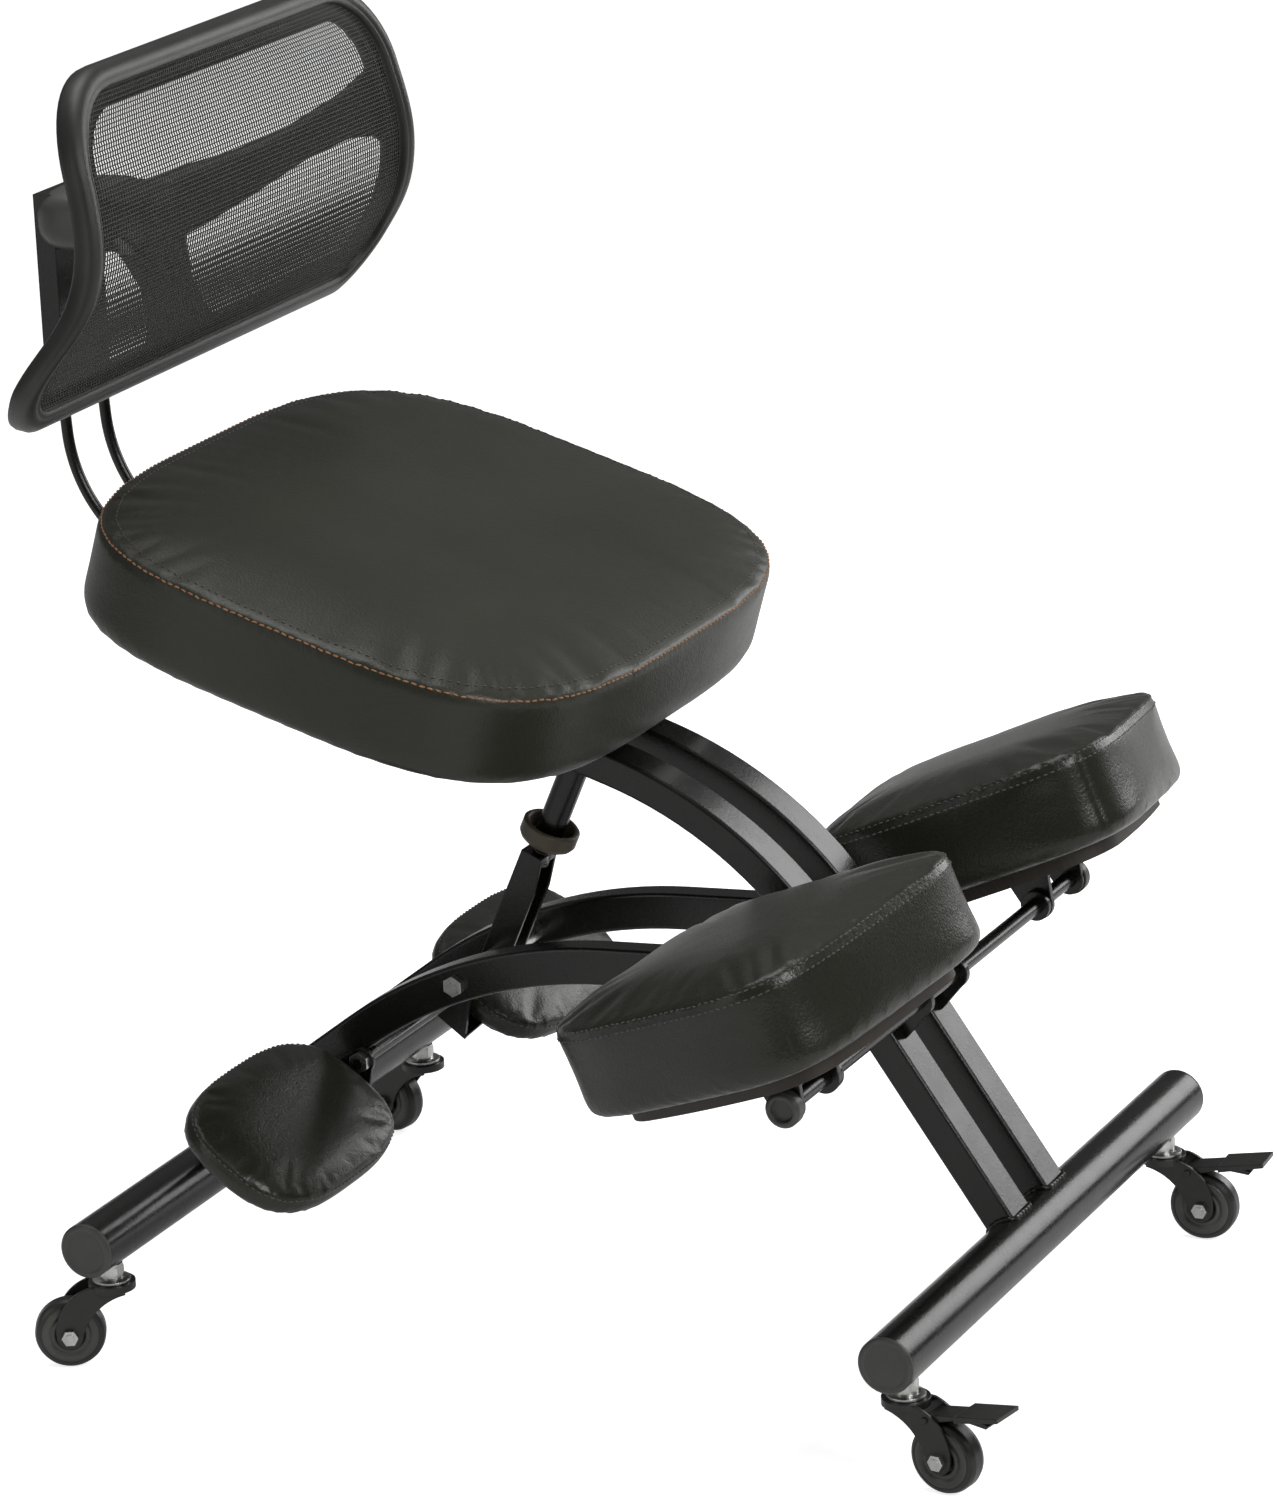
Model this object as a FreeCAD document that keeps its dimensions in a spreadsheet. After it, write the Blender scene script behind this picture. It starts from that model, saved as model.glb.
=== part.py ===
import FreeCAD, Part
import math
import os
import re
from types import SimpleNamespace
from FreeCAD import Placement, Rotation, Vector

# Kneeling chair on four stem casters. Front is -Y, up is +Z, X runs along the cross tubes.
# Heights are counted from the floor, and depths from the axis of the front cross tube.

SIZES = [
    ("front_bar_y", -316.2, "front cross tube axis, from the origin under the chair's middle"),
    ("bar_diameter", 38.0, "cross tube, outside"),
    ("bar_wall", 2.0, "cross tube wall"),
    ("bar_length", 514.0, "cross tube without its caps"),
    ("bar_height", 91.0, "cross tube axis above the floor"),
    ("wheelbase", 582.0, "front to rear cross tube"),
    ("cap_flange", 3.0, "end cap, seen thickness"),
    ("cap_plug", 12.0, "end cap, length inside the tube"),
    ("rail_wall", 1.8, "wall of the rectangular rails"),
    ("rail_edge", 2.5, "rounding along the rails"),
    ("main_rail_width", 30.0, "main rail across"),
    ("main_rail_depth", 22.0, "main rail in side view"),
    ("main_rail_gap", 30.0, "between the two main rails"),
    ("main_rail_angle", 55.4, "rise of the main rails from the floor, degrees"),
    ("main_rail_lower", 331.0, "front tube axis to the bend's corner"),
    ("main_rail_upper", 389.0, "bend's corner to the rear end"),
    ("main_rail_bend", 289.0, "bend radius of the centre line"),
    ("seat_angle", 17.0, "rise of the seat to the rear, degrees"),
    ("rear_rail_width", 20.0, "rear rail across"),
    ("rear_rail_depth", 26.0, "rear rail in side view"),
    ("rail_side_gap", 5.5, "between a main rail and the rear rail beside it"),
    ("rear_rail_angle", 3.0, "fall of the rear rails behind the hinge, degrees"),
    ("rear_rail_front", 262.0, "hinge to the bend's corner"),
    ("rear_rail_bend", 344.0, "bend radius of the centre line"),
    ("rear_rail_seat", 15.4, "rear rail's centre line above the rear tube axis"),
    ("rear_rail_overrun", 8.0, "rear rail past the rear tube axis"),
    ("rear_rail_nose", 20.0, "rear rail in front of the hinge"),
    ("hinge_reach", 219.0, "front tube axis to the hinge, along the rail"),
    ("hinge_bolt", 10.0, "hinge bolt diameter"),
    ("hinge_head", 3.5, "hinge bolt's head and nut"),
    ("bolt_head", 5.0, "strut bolts' heads and nuts"),
    ("running_gap", 0.08, "radial clearance of a turning fit"),
    ("side_gap", 0.3, "side clearance of a turning piece"),
    ("strut_top_reach", 136.0, "bend's corner to the strut's top bolt"),
    ("strut_foot_angle", 22.0, "strut's lower bolt, round the rear bend, degrees"),
    ("strut_bolt", 8.0, "strut bolts"),
    ("strut_foot_gap", 0.8, "play of the lower bolt in the channel"),
    ("channel_width", 25.0, "strut channel across"),
    ("channel_depth", 20.0, "strut channel in side view"),
    ("channel_wall", 2.5, "strut channel sheet"),
    ("channel_height", 84.0, "strut channel above its bolt"),
    ("channel_nose", 11.0, "strut channel's rounded end below its bolt"),
    ("ring_lift", 91.0, "underside of the ring nut above the lower bolt"),
    ("ring_height", 15.0, "ring nut"),
    ("ring_diameter", 40.0, "ring nut"),
    ("strut_tube_diameter", 19.5, "upper tube of the strut"),
    ("strut_eye", 19.0, "rounded top end of the strut tube"),
    ("screw_diameter", 12.0, "strut screw"),
    ("knee_rod_reach", 170.6, "front tube axis to the knee rod, along the rail"),
    ("knee_rod_offset", 32.7, "knee rod in front of the rail's centre line"),
    ("knee_rod_diameter", 11.0, "knee rod"),
    ("knee_rod_half", 243.0, "half the length of the knee rod"),
    ("lug_width", 5.0, "knee rod lug sheet"),
    ("lug_round", 11.0, "knee rod lug's rounded end, radius"),
    ("lug_foot", 34.0, "knee rod lug along the rail"),
    ("knee_ear_inner", 180.0, "inner ear of a knee bracket"),
    ("knee_ear_outer", 236.0, "outer ear of a knee bracket"),
    ("ear_sheet", 4.0, "bracket ear"),
    ("ear_round", 11.0, "bracket ear's rounded end, radius"),
    ("collar_diameter", 21.0, "collar on the knee rod"),
    ("collar_width", 5.0, "collar on the knee rod"),
    ("knee_half_width", 119.0, "knee cushion, half across"),
    ("knee_half_depth", 116.0, "knee cushion, half along its slope"),
    ("knee_cushion_height", 70.0, "knee cushion at its rim"),
    ("knee_crown", 6.0, "knee cushion, middle above the rim"),
    ("knee_board", 10.0, "knee board"),
    ("knee_tilt", 21.7, "knee pad, front up, degrees"),
    ("knee_yaw", 11.5, "knee pad, front turned outwards, degrees"),
    ("knee_roll", 6.4, "knee pad, inner side up, degrees"),
    ("knee_pad_x", 196.0, "knee pad underside centre, from the middle"),
    ("knee_pad_back", 17.4, "knee pad underside centre behind the rod"),
    ("knee_pad_rise", 21.2, "knee pad underside centre above the rod"),
    ("foot_rod_reach", 111.6, "rear bend's corner to the foot rod, along the rail"),
    ("foot_rod_diameter", 8.0, "foot rod"),
    ("foot_rod_half", 81.5, "half the length of the foot rod"),
    ("foot_half_width", 95.0, "foot cushion, half across"),
    ("foot_half_depth", 58.0, "foot cushion, half along its slope"),
    ("foot_cushion_height", 19.0, "foot cushion at its rim"),
    ("foot_crown", 3.0, "foot cushion, middle above the rim"),
    ("foot_board", 6.0, "foot board"),
    ("foot_tilt", 36.4, "foot pad, front down, degrees"),
    ("foot_pad_x", 178.0, "foot pad centre, from the middle"),
    ("foot_pad_drop", 23.6, "foot pad underside below the rod, square to the pad"),
    ("foot_pad_back", -6.7, "foot pad centre behind the rod, along the pad"),
    ("bracket_sheet", 3.0, "bracket plates"),
    ("seat_half_width", 239.5, "seat cushion, half across"),
    ("seat_half_depth", 193.0, "seat cushion, half along its slope"),
    ("seat_cushion_height", 73.0, "seat cushion at its rim"),
    ("seat_crown", 6.0, "seat cushion, middle above the rim"),
    ("seat_board", 12.0, "seat board"),
    ("seat_plate", 4.0, "seat plate"),
    ("seat_plate_width", 200.0, "seat plate across"),
    ("seat_plate_length", 230.0, "seat plate along the rails"),
    ("seat_reach", 271.4, "main bend's corner to the seat's middle, along the rail"),
    ("screw_pitch_x", 150.0, "seat screws across"),
    ("screw_pitch_y", 190.0, "seat screws along the slope"),
    ("screw_head", 12.0, "board screw heads"),
    ("screw_shank", 5.0, "board screws"),
    ("back_rod_diameter", 8.0, "backrest rods"),
    ("back_rod_x", 26.0, "backrest rods from the middle"),
    ("back_rod_bend", 100.0, "bend radius of the backrest rods"),
    ("carrier_width", 62.0, "backrest carrier across"),
    ("carrier_depth", 15.0, "backrest carrier, front to rear"),
    ("carrier_y", 697.0, "backrest carrier, behind the front tube"),
    ("carrier_bottom", 612.0, "backrest carrier's lower end"),
    ("carrier_top", 757.0, "backrest carrier's upper end"),
    ("hub_width", 84.0, "hub cover across"),
    ("hub_depth", 50.0, "hub cover, front to rear"),
    ("hub_bottom", 716.0, "hub cover's lower edge"),
    ("hub_height", 46.0, "hub cover"),
    ("back_half_width", 217.0, "backrest, half across"),
    ("back_frame_depth", 14.0, "backrest frame, front to rear"),
    ("back_border", 26.0, "backrest frame bar width"),
    ("mesh_thickness", 1.2, "backrest mesh"),
    ("back_lip", 6.0, "backrest frame, standing proud of the mesh"),
    ("stem_x", 228.0, "caster stems from the middle"),
    ("stem_diameter", 10.0, "caster stem in the tube"),
    ("stem_pin", 8.0, "caster stem's swivel pin"),
    ("stem_nut", 15.0, "caster stem nut, across flats"),
    ("fork_top", 59.0, "top of the fork's disc"),
    ("fork_disc", 32.0, "fork's disc"),
    ("fork_disc_height", 5.0, "fork's disc"),
    ("fork_width", 23.5, "fork outside"),
    ("fork_gap", 19.5, "fork inside"),
    ("trail", 30.0, "caster axle behind its stem"),
    ("wheel_diameter", 48.0, "caster wheel"),
    ("wheel_width", 16.5, "caster wheel tread"),
    ("wheel_boss", 19.0, "caster wheel boss across"),
    ("axle_diameter", 6.0, "caster axle"),
    ("axle_nut", 10.0, "caster axle head and nut, across flats"),
    ("pedal_reach", 76.0, "brake pedal's tip from the stem"),
    ("pedal_tip", 63.0, "brake pedal's tip above the floor"),
    ("pedal_width", 26.0, "brake pedal's tread across"),
    ("pedal_sheet", 3.0, "brake pedal"),
    ("pedal_pin", 4.0, "brake pedal pin"),
]

doc = FreeCAD.newDocument("KneelingChair")
sheet = doc.addObject("Spreadsheet::Sheet", "Sizes")
for row, (alias, number, note) in enumerate(SIZES, start=1):
    sheet.set(f"A{row}", note)
    sheet.set(f"B{row}", str(number))
    sheet.setAlias(f"B{row}", alias)
doc.recompute()
size = SimpleNamespace(**{alias: float(sheet.get(alias)) for alias, number, note in SIZES})
ALIASES = {alias for alias, number, note in SIZES}

X_AXIS = Vector(1, 0, 0)
Y_AXIS = Vector(0, 1, 0)
Z_AXIS = Vector(0, 0, 1)
nodes = []


# Helpers

def bind(item, prop, formula):
    """Tie a property to the sheet: words that are sizes are read from it."""
    words = re.sub(r"[a-z]\w*", lambda m: "Sizes." + m.group() if m.group() in ALIASES else m.group(), formula)
    item.setExpression(prop, words)


def keep(item, label):
    """Name a finished sub-part, so that it is written to a file."""
    item.Label = label
    nodes.append(item)
    return item


def pos(x, y, z):
    return Vector(x, size.front_bar_y + y, z)


def at(x, y, z, rotation=Rotation()):
    return Placement(pos(x, y, z), rotation)


def cylinder(name, radius, height, placement):
    item = doc.addObject("Part::Cylinder", name)
    bind(item, "Radius", radius)
    bind(item, "Height", height)
    item.Placement = placement
    return item


def cross_rod(name, radius, height, half, y, z, x=0.0):
    """Round bar along X, centred on x."""
    return cylinder(name, radius, height, at(x - half, y, z, Rotation(Z_AXIS, X_AXIS)))


def hexagon(name, flats, height, placement):
    item = doc.addObject("Part::Prism", name)
    item.Polygon = 6
    bind(item, "Circumradius", f"({flats}) / sqrt(3)")
    bind(item, "Height", height)
    item.Placement = placement
    return item


def block(name, length, width, height, placement):
    """Box centred on its placement in X and Y, standing on it in Z."""
    item = doc.addObject("Part::Box", name)
    bind(item, "Length", length)
    bind(item, "Width", width)
    bind(item, "Height", height)
    doc.recompute()
    shift = Vector(-item.Length.Value / 2, -item.Width.Value / 2, 0)
    item.Placement = placement.multiply(Placement(shift, Rotation()))
    return item


def fuse(name, *parts):
    item = doc.addObject("Part::MultiFuse", name)
    item.Shapes = list(parts)
    return item


def cut(name, base, *tools):
    item = doc.addObject("Part::Cut", name)
    item.Base = base
    item.Tool = tools[0] if len(tools) == 1 else fuse(name + "_tools", *tools)
    return item


def common(name, base, tool):
    item = doc.addObject("Part::Common", name)
    item.Base = base
    item.Tool = tool
    return item


def mirrored(name, source):
    item = doc.addObject("Part::Mirroring", name)
    item.Source = source
    item.Normal = X_AXIS
    item.Base = Vector(0, 0, 0)
    return item


def group(name, *parts):
    item = doc.addObject("Part::Compound", name)
    item.Links = list(parts)
    return item


def solid(name, shape, placement=Placement()):
    item = doc.addObject("Part::Feature", name)
    item.Shape = shape
    item.Placement = placement
    return item


def new_body(name, placement=Placement()):
    body = doc.addObject("PartDesign::Body", name)
    body.Placement = placement
    return body


def sketch(body, role, edges, offset=0.0):
    plane = next(part for part in body.Origin.OriginFeatures if part.Role == role)
    item = body.newObject("Sketcher::SketchObject", body.Name + "_sketch")
    item.AttachmentSupport = [(plane, "")]
    item.MapMode = "FlatFace"
    item.AttachmentOffset = Placement(Vector(0, 0, offset), Rotation())
    item.addGeometry(edges, False)
    return item


def pad(body, profile, length, midplane=True, reverse=False):
    item = body.newObject("PartDesign::Pad", body.Name + "_pad")
    item.Profile = profile
    item.Midplane = midplane
    item.Reversed = reverse
    bind(item, "Length", length)
    profile.Visibility = False
    return item


def pocket(body, profile, length, midplane=True, reverse=False):
    item = body.newObject("PartDesign::Pocket", body.Name + "_pocket")
    item.Profile = profile
    item.Midplane = midplane
    item.Reversed = reverse
    bind(item, "Length", length)
    return item


def revolve(body, points):
    """Turn a closed outline of (radius, height) points about the body's Z axis."""
    profile = sketch(body, "XZ_Plane", closed(points))
    item = body.newObject("PartDesign::Revolution", body.Name + "_turned")
    item.Profile = profile
    item.ReferenceAxis = (profile, ["V_Axis"])
    item.Angle = 360
    return item


def round_edges(body, base, names, radius):
    item = body.newObject("PartDesign::Fillet", body.Name + "_rounding")
    item.Base = (base, names)
    bind(item, "Radius", radius)
    return item


def closed(points):
    flat = [Vector(a, b, 0) for a, b in points]
    return [Part.LineSegment(flat[i - 1], flat[i]) for i in range(len(flat))]


def circle(a, b, radius):
    return Part.Circle(Vector(a, b, 0), Z_AXIS, radius)


def left_normal(v):
    return Vector(-v.y, v.x, 0)


def bent_side(start, corner, end, radius, offset):
    """Line, arc and line parallel to a centre line with one bend."""
    first = (corner - start).normalize()
    second = (end - corner).normalize()
    turn = first.getAngle(second)
    side = 1.0 if first.cross(second).z > 0 else -1.0
    tangent = radius * math.tan(turn / 2)
    bend_in = corner - first * tangent
    centre = bend_in + left_normal(first) * side * radius
    middle = centre + (corner - centre).normalize() * (radius - side * offset)
    return [
        start + left_normal(first) * offset,
        bend_in + left_normal(first) * offset,
        middle,
        corner + second * tangent + left_normal(second) * offset,
        end + left_normal(second) * offset,
    ]


def bent_outline(start, corner, end, radius, depth):
    a = bent_side(start, corner, end, radius, depth / 2)
    b = bent_side(start, corner, end, radius, -depth / 2)
    return [
        Part.LineSegment(a[0], a[1]),
        Part.Arc(a[1], a[2], a[3]),
        Part.LineSegment(a[3], a[4]),
        Part.LineSegment(a[4], b[4]),
        Part.LineSegment(b[4], b[3]),
        Part.Arc(b[3], b[2], b[1]),
        Part.LineSegment(b[1], b[0]),
        Part.LineSegment(b[0], a[0]),
    ]


def on_circle(centre, radius, degrees):
    """Point at an angle from the vertical, measured towards the rear."""
    turn = math.radians(degrees)
    return Vector(centre.x + radius * math.sin(turn), centre.y + radius * math.cos(turn), 0)


def heading(degrees):
    turn = math.radians(degrees)
    return Vector(math.cos(turn), math.sin(turn), 0)


# Side view of the frame: points are (depth, height)

front_bar = Vector(0, size.bar_height, 0)
rear_bar = Vector(size.wheelbase, size.bar_height, 0)
rise = heading(size.main_rail_angle)
slope = heading(size.seat_angle)
main_corner = front_bar + rise * size.main_rail_lower
main_end = main_corner + slope * size.main_rail_upper
hinge = front_bar + rise * size.hinge_reach

rear_corner = hinge + heading(-size.rear_rail_angle) * size.rear_rail_front
to_bar = rear_bar - rear_corner
fall = math.degrees(math.atan2(-to_bar.y, to_bar.x) - math.asin(size.rear_rail_seat / to_bar.Length))
down = heading(-fall)
rear_end = rear_corner + down * (to_bar.dot(down) + size.rear_rail_overrun)
half_turn = math.radians(fall - size.rear_rail_angle) / 2
bend_middle = on_circle(rear_corner, -size.rear_rail_bend / math.cos(half_turn), (fall + size.rear_rail_angle) / 2)
strut_foot = on_circle(bend_middle, size.rear_rail_bend, size.strut_foot_angle)
strut_top = main_corner + slope * size.strut_top_reach
strut_line = strut_top - strut_foot
strut_lean = math.degrees(math.atan2(-strut_line.x, strut_line.y))
knee_rod_at = front_bar + rise * size.knee_rod_reach + left_normal(rise) * size.knee_rod_offset
foot_rod_drop = (size.rear_rail_depth + size.foot_rod_diameter) / 2
foot_rod_at = rear_corner + down * size.foot_rod_reach - left_normal(down) * foot_rod_drop

bar_radius = size.bar_diameter / 2
main_rail_x = (size.main_rail_gap + size.main_rail_width) / 2
main_outside = size.main_rail_gap / 2 + size.main_rail_width
rear_inside = main_outside + size.rail_side_gap
rear_rail_x = rear_inside + size.rear_rail_width / 2
rear_outside = rear_inside + size.rear_rail_width


# Cross tubes with their caps

def cross_tube(name, y):
    half = size.bar_length / 2
    outer = cross_rod(name + "_outer", "bar_diameter / 2", "bar_length", half, y, size.bar_height)
    bore = cross_rod(name + "_bore", "bar_diameter / 2 - bar_wall", "bar_length", half, y, size.bar_height)
    holes = [
        cylinder(name + "_stem_hole", "stem_diameter / 2", "bar_height", at(side * size.stem_x, y, 0))
        for side in (-1, 1)
    ]
    return cut(name + "_cut", outer, bore, *holes)


def bar_caps(name, y):
    """Flanged plugs with a rounded rim and a shallow dish."""
    plug = bar_radius - size.bar_wall
    rim = bar_radius - 1.6
    points = [
        (0, -size.cap_plug + 9), (plug - 3, -size.cap_plug + 9), (plug - 3, -size.cap_plug),
        (plug, -size.cap_plug), (plug, 0), (bar_radius, 0), (bar_radius, size.cap_flange - 1.4),
        (rim, size.cap_flange), (rim - 2, size.cap_flange), (rim - 2.8, size.cap_flange - 0.8),
        (0, size.cap_flange - 0.8),
    ]
    cap = new_body(name + "_right", at(-size.bar_length / 2, y, size.bar_height, Rotation(Y_AXIS, -90)))
    revolve(cap, points)
    return group(name + "_pair", cap, mirrored(name + "_left", cap))


keep(cross_tube("front_tube", 0), "front_crossbar")
keep(cross_tube("rear_tube", size.wheelbase), "rear_crossbar")
keep(bar_caps("front_cap", 0), "front_bar_caps")
keep(bar_caps("rear_cap", size.wheelbase), "rear_bar_caps")


# Rails: rectangular tube with one bend, saddled on its cross tube

def rail(name, x, line, radius, width, depth, bar, bores):
    start, corner, end = line
    body = new_body(name, at(x, 0, 0))
    outline = sketch(body, "YZ_Plane", bent_outline(start, corner, end, radius, getattr(size, depth)))
    tube = pad(body, outline, width)
    doc.recompute()
    face = getattr(size, width) / 2
    long_edges = [
        f"Edge{number}" for number, edge in enumerate(tube.Shape.Edges, start=1)
        if edge.Length > getattr(size, depth) * 1.5
        and all(abs(abs(v.X) - face) < 0.001 for v in edge.Vertexes)
    ]
    round_edges(body, tube, long_edges, "rail_edge")
    inside = sketch(
        body, "YZ_Plane",
        bent_outline(start - (corner - start).normalize() * 2, corner, end + (end - corner).normalize() * 2,
                     radius, getattr(size, depth) - 2 * size.rail_wall),
    )
    pocket(body, inside, f"{width} - 2 * rail_wall")
    pocket(body, sketch(body, "YZ_Plane", [circle(bar.x, bar.y, bar_radius)]), f"{width} + 2")
    for point, bore in bores:
        pocket(body, sketch(body, "YZ_Plane", [circle(point.x, point.y, bore)]), f"{width} + 2")
    return body


hinge_radius = size.hinge_bolt / 2
strut_radius = size.strut_bolt / 2
main_line = (front_bar, main_corner, main_end)
rear_start = hinge - heading(-size.rear_rail_angle) * size.rear_rail_nose
rear_line = (rear_start, rear_corner, rear_end)
for label, side in (("left", 1), ("right", -1)):
    bores = [(hinge, hinge_radius), (strut_top, strut_radius)]
    keep(rail("main_rail_" + label, side * main_rail_x, main_line, size.main_rail_bend,
              "main_rail_width", "main_rail_depth", front_bar, bores), "main_rail_" + label)
    bores = [(hinge, hinge_radius + size.running_gap), (strut_foot, strut_radius)]
    keep(rail("rear_rail_" + label, side * rear_rail_x, rear_line, size.rear_rail_bend,
              "rear_rail_width", "rear_rail_depth", rear_bar, bores), "rear_rail_" + label)


# Bolts and spacers across the rails

def cross_bolt(name, point, diameter, outside, flats, head):
    """Bolt along X: hexagon head on the right, nut on the left."""
    half = outside + getattr(size, head)
    shank = cross_rod(name + "_shank", f"{diameter} / 2", str(2 * half), half, point.x, point.y)
    ends = [
        hexagon(name + "_end", flats, head, at(x, point.x, point.y, Rotation(Z_AXIS, X_AXIS)))
        for x in (-half, outside)
    ]
    return fuse(name + "_solid", shank, *ends)


def ring(name, outer, bore, x, length, point):
    """Plain ring along X, from x outwards."""
    start = at(x, point.x, point.y, Rotation(Z_AXIS, X_AXIS))
    return cut(name + "_ring", cylinder(name + "_body", str(outer), str(length), start),
               cylinder(name + "_hole", str(bore), str(length), start))


def ring_pair(name, outer, bore, x, length, point):
    first = ring(name, outer, bore, x, length, point)
    return group(name + "_pair", first, mirrored(name + "_other", first))


keep(cross_bolt("hinge_bolt_item", hinge, "hinge_bolt", rear_outside + size.side_gap, "hinge_bolt * 1.7",
                "hinge_head"), "frame_hinge_bolt")
hinge_spacers = ring_pair("hinge_spacer", size.hinge_bolt * 0.9, hinge_radius, main_outside,
                          size.rail_side_gap - size.side_gap, hinge)
keep(cross_bolt("strut_top_item", strut_top, "strut_bolt", main_outside, "strut_bolt * 1.6", "bolt_head"),
     "strut_top_bolt")
tube_side = size.strut_tube_diameter / 2 + size.side_gap
strut_spacers = ring_pair("strut_top_spacer", size.strut_bolt * 0.85, strut_radius, tube_side,
                          size.main_rail_gap / 2 - tube_side, strut_top)
keep(group("main_rail_spacer_set", hinge_spacers, strut_spacers), "main_rail_spacers")
keep(cross_bolt("strut_foot_item", strut_foot, "strut_bolt", rear_outside, "strut_bolt * 1.6", "bolt_head"),
     "strut_foot_bolt")
channel_side = size.channel_width / 2 + size.side_gap
keep(ring_pair("strut_foot_spacer", size.strut_bolt * 0.85, strut_radius, channel_side,
               rear_inside - channel_side, strut_foot), "strut_foot_spacers")


# Strut, drawn upright from its lower bolt and leaned into place

strut_frame = at(0, strut_foot.x, strut_foot.y, Rotation(X_AXIS, strut_lean))
strut_length = strut_line.Length

channel = new_body("channel", strut_frame)
low = size.channel_depth / 2
high = low - 4.0
shoulder = size.channel_height - 26
outline = [
    Part.Arc(Vector(-low, 0, 0), Vector(0, -size.channel_nose, 0), Vector(low, 0, 0)),
    Part.LineSegment(Vector(low, 0, 0), Vector(low, size.channel_height, 0)),
    Part.LineSegment(Vector(low, size.channel_height, 0), Vector(-high, size.channel_height, 0)),
    Part.LineSegment(Vector(-high, size.channel_height, 0), Vector(-low, shoulder, 0)),
    Part.LineSegment(Vector(-low, shoulder, 0), Vector(-low, 0, 0)),
]
pad(channel, sketch(channel, "YZ_Plane", outline), "channel_width")
inside = [(-low - 5, -size.channel_nose - 5), (low - size.channel_wall, -size.channel_nose - 5),
          (low - size.channel_wall, size.channel_height - 5), (-low - 5, size.channel_height - 5)]
pocket(channel, sketch(channel, "YZ_Plane", closed(inside)), "channel_width - 2 * channel_wall")
foot_bore = strut_radius + size.strut_foot_gap
pocket(channel, sketch(channel, "YZ_Plane", [circle(0, 0, foot_bore)]), "channel_width + 2")
pocket(channel, sketch(channel, "XY_Plane", [circle(0, 0, size.screw_diameter / 2)], size.channel_height - 6),
       "12", midplane=False, reverse=True)
keep(channel, "strut_channel")

screw_top = strut_length - 20
screw_start = size.channel_height - 9
screw = fuse(
    "screw_solid",
    cylinder("screw_rod", "screw_diameter / 2", str(screw_top - screw_start),
             strut_frame.multiply(Placement(Vector(0, 0, screw_start), Rotation()))),
    cylinder("screw_foot", "screw_diameter / 2 + 1.2", "4",
             strut_frame.multiply(Placement(Vector(0, 0, screw_start), Rotation()))),
)
keep(screw, "strut_screw")

ring_nut = new_body("ring_nut", strut_frame.multiply(Placement(Vector(0, 0, size.ring_lift), Rotation())))
ring_radius = size.ring_diameter / 2
tube_radius = size.strut_tube_diameter / 2
screw_bore = size.screw_diameter / 2 + size.running_gap
ring_floor = size.ring_height * 0.35
revolve(ring_nut, [
    (screw_bore, 0), (ring_radius - 5, 0), (ring_radius - 1.5, 2.5), (ring_radius, 5),
    (ring_radius, size.ring_height - 1), (ring_radius - 1, size.ring_height),
    (ring_radius - 3, size.ring_height), (ring_radius - 4, size.ring_height - 1),
    (tube_radius + 2.5, ring_floor), (screw_bore, ring_floor),
])
keep(ring_nut, "strut_ring_nut")

tube_start = size.ring_lift + ring_floor + size.side_gap
tube_rod = cylinder("strut_tube_rod", "strut_tube_diameter / 2", str(strut_length - tube_start),
                    strut_frame.multiply(Placement(Vector(0, 0, tube_start), Rotation())))
eye = cross_rod("strut_tube_eye", "strut_eye / 2", "strut_tube_diameter", tube_radius, strut_top.x, strut_top.y)
tube_bore = cylinder("strut_tube_bore", f"screw_diameter / 2 + running_gap",
                     str(strut_length - 12 - tube_start),
                     strut_frame.multiply(Placement(Vector(0, 0, tube_start), Rotation())))
eye_bore = cross_rod("strut_eye_bore", "strut_bolt / 2 + running_gap", "strut_tube_diameter + 2",
                     tube_radius + 1, strut_top.x, strut_top.y)
keep(cut("strut_tube_cut", fuse("strut_tube_solid", tube_rod, eye), tube_bore, eye_bore), "strut_tube")


# Knee rod on two lugs, with collars and end caps

lug_face = size.main_rail_depth / 2
lug_root = front_bar + rise * size.knee_rod_reach + left_normal(rise) * lug_face
foot_low = lug_root - rise * (size.lug_foot / 2)
foot_high = lug_root + rise * (size.lug_foot / 2)
nose = left_normal(rise) * size.lug_round
side_low = knee_rod_at - rise * size.lug_round
side_high = knee_rod_at + rise * size.lug_round
lug = new_body("lug", at(main_rail_x, 0, 0))
pad(lug, sketch(lug, "YZ_Plane", [
    Part.LineSegment(foot_low, foot_high),
    Part.LineSegment(foot_high, side_high),
    Part.Arc(side_high, knee_rod_at + nose, side_low),
    Part.LineSegment(side_low, foot_low),
]), "lug_width")
knee_rod_radius = size.knee_rod_diameter / 2
pocket(lug, sketch(lug, "YZ_Plane", [circle(knee_rod_at.x, knee_rod_at.y, knee_rod_radius)]), "lug_width + 2")
keep(group("lugs", lug, mirrored("lug_other", lug)), "knee_rod_lugs")
keep(cross_rod("knee_rod_bar", "knee_rod_diameter / 2", "2 * knee_rod_half", size.knee_rod_half,
               knee_rod_at.x, knee_rod_at.y), "knee_rod")

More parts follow.
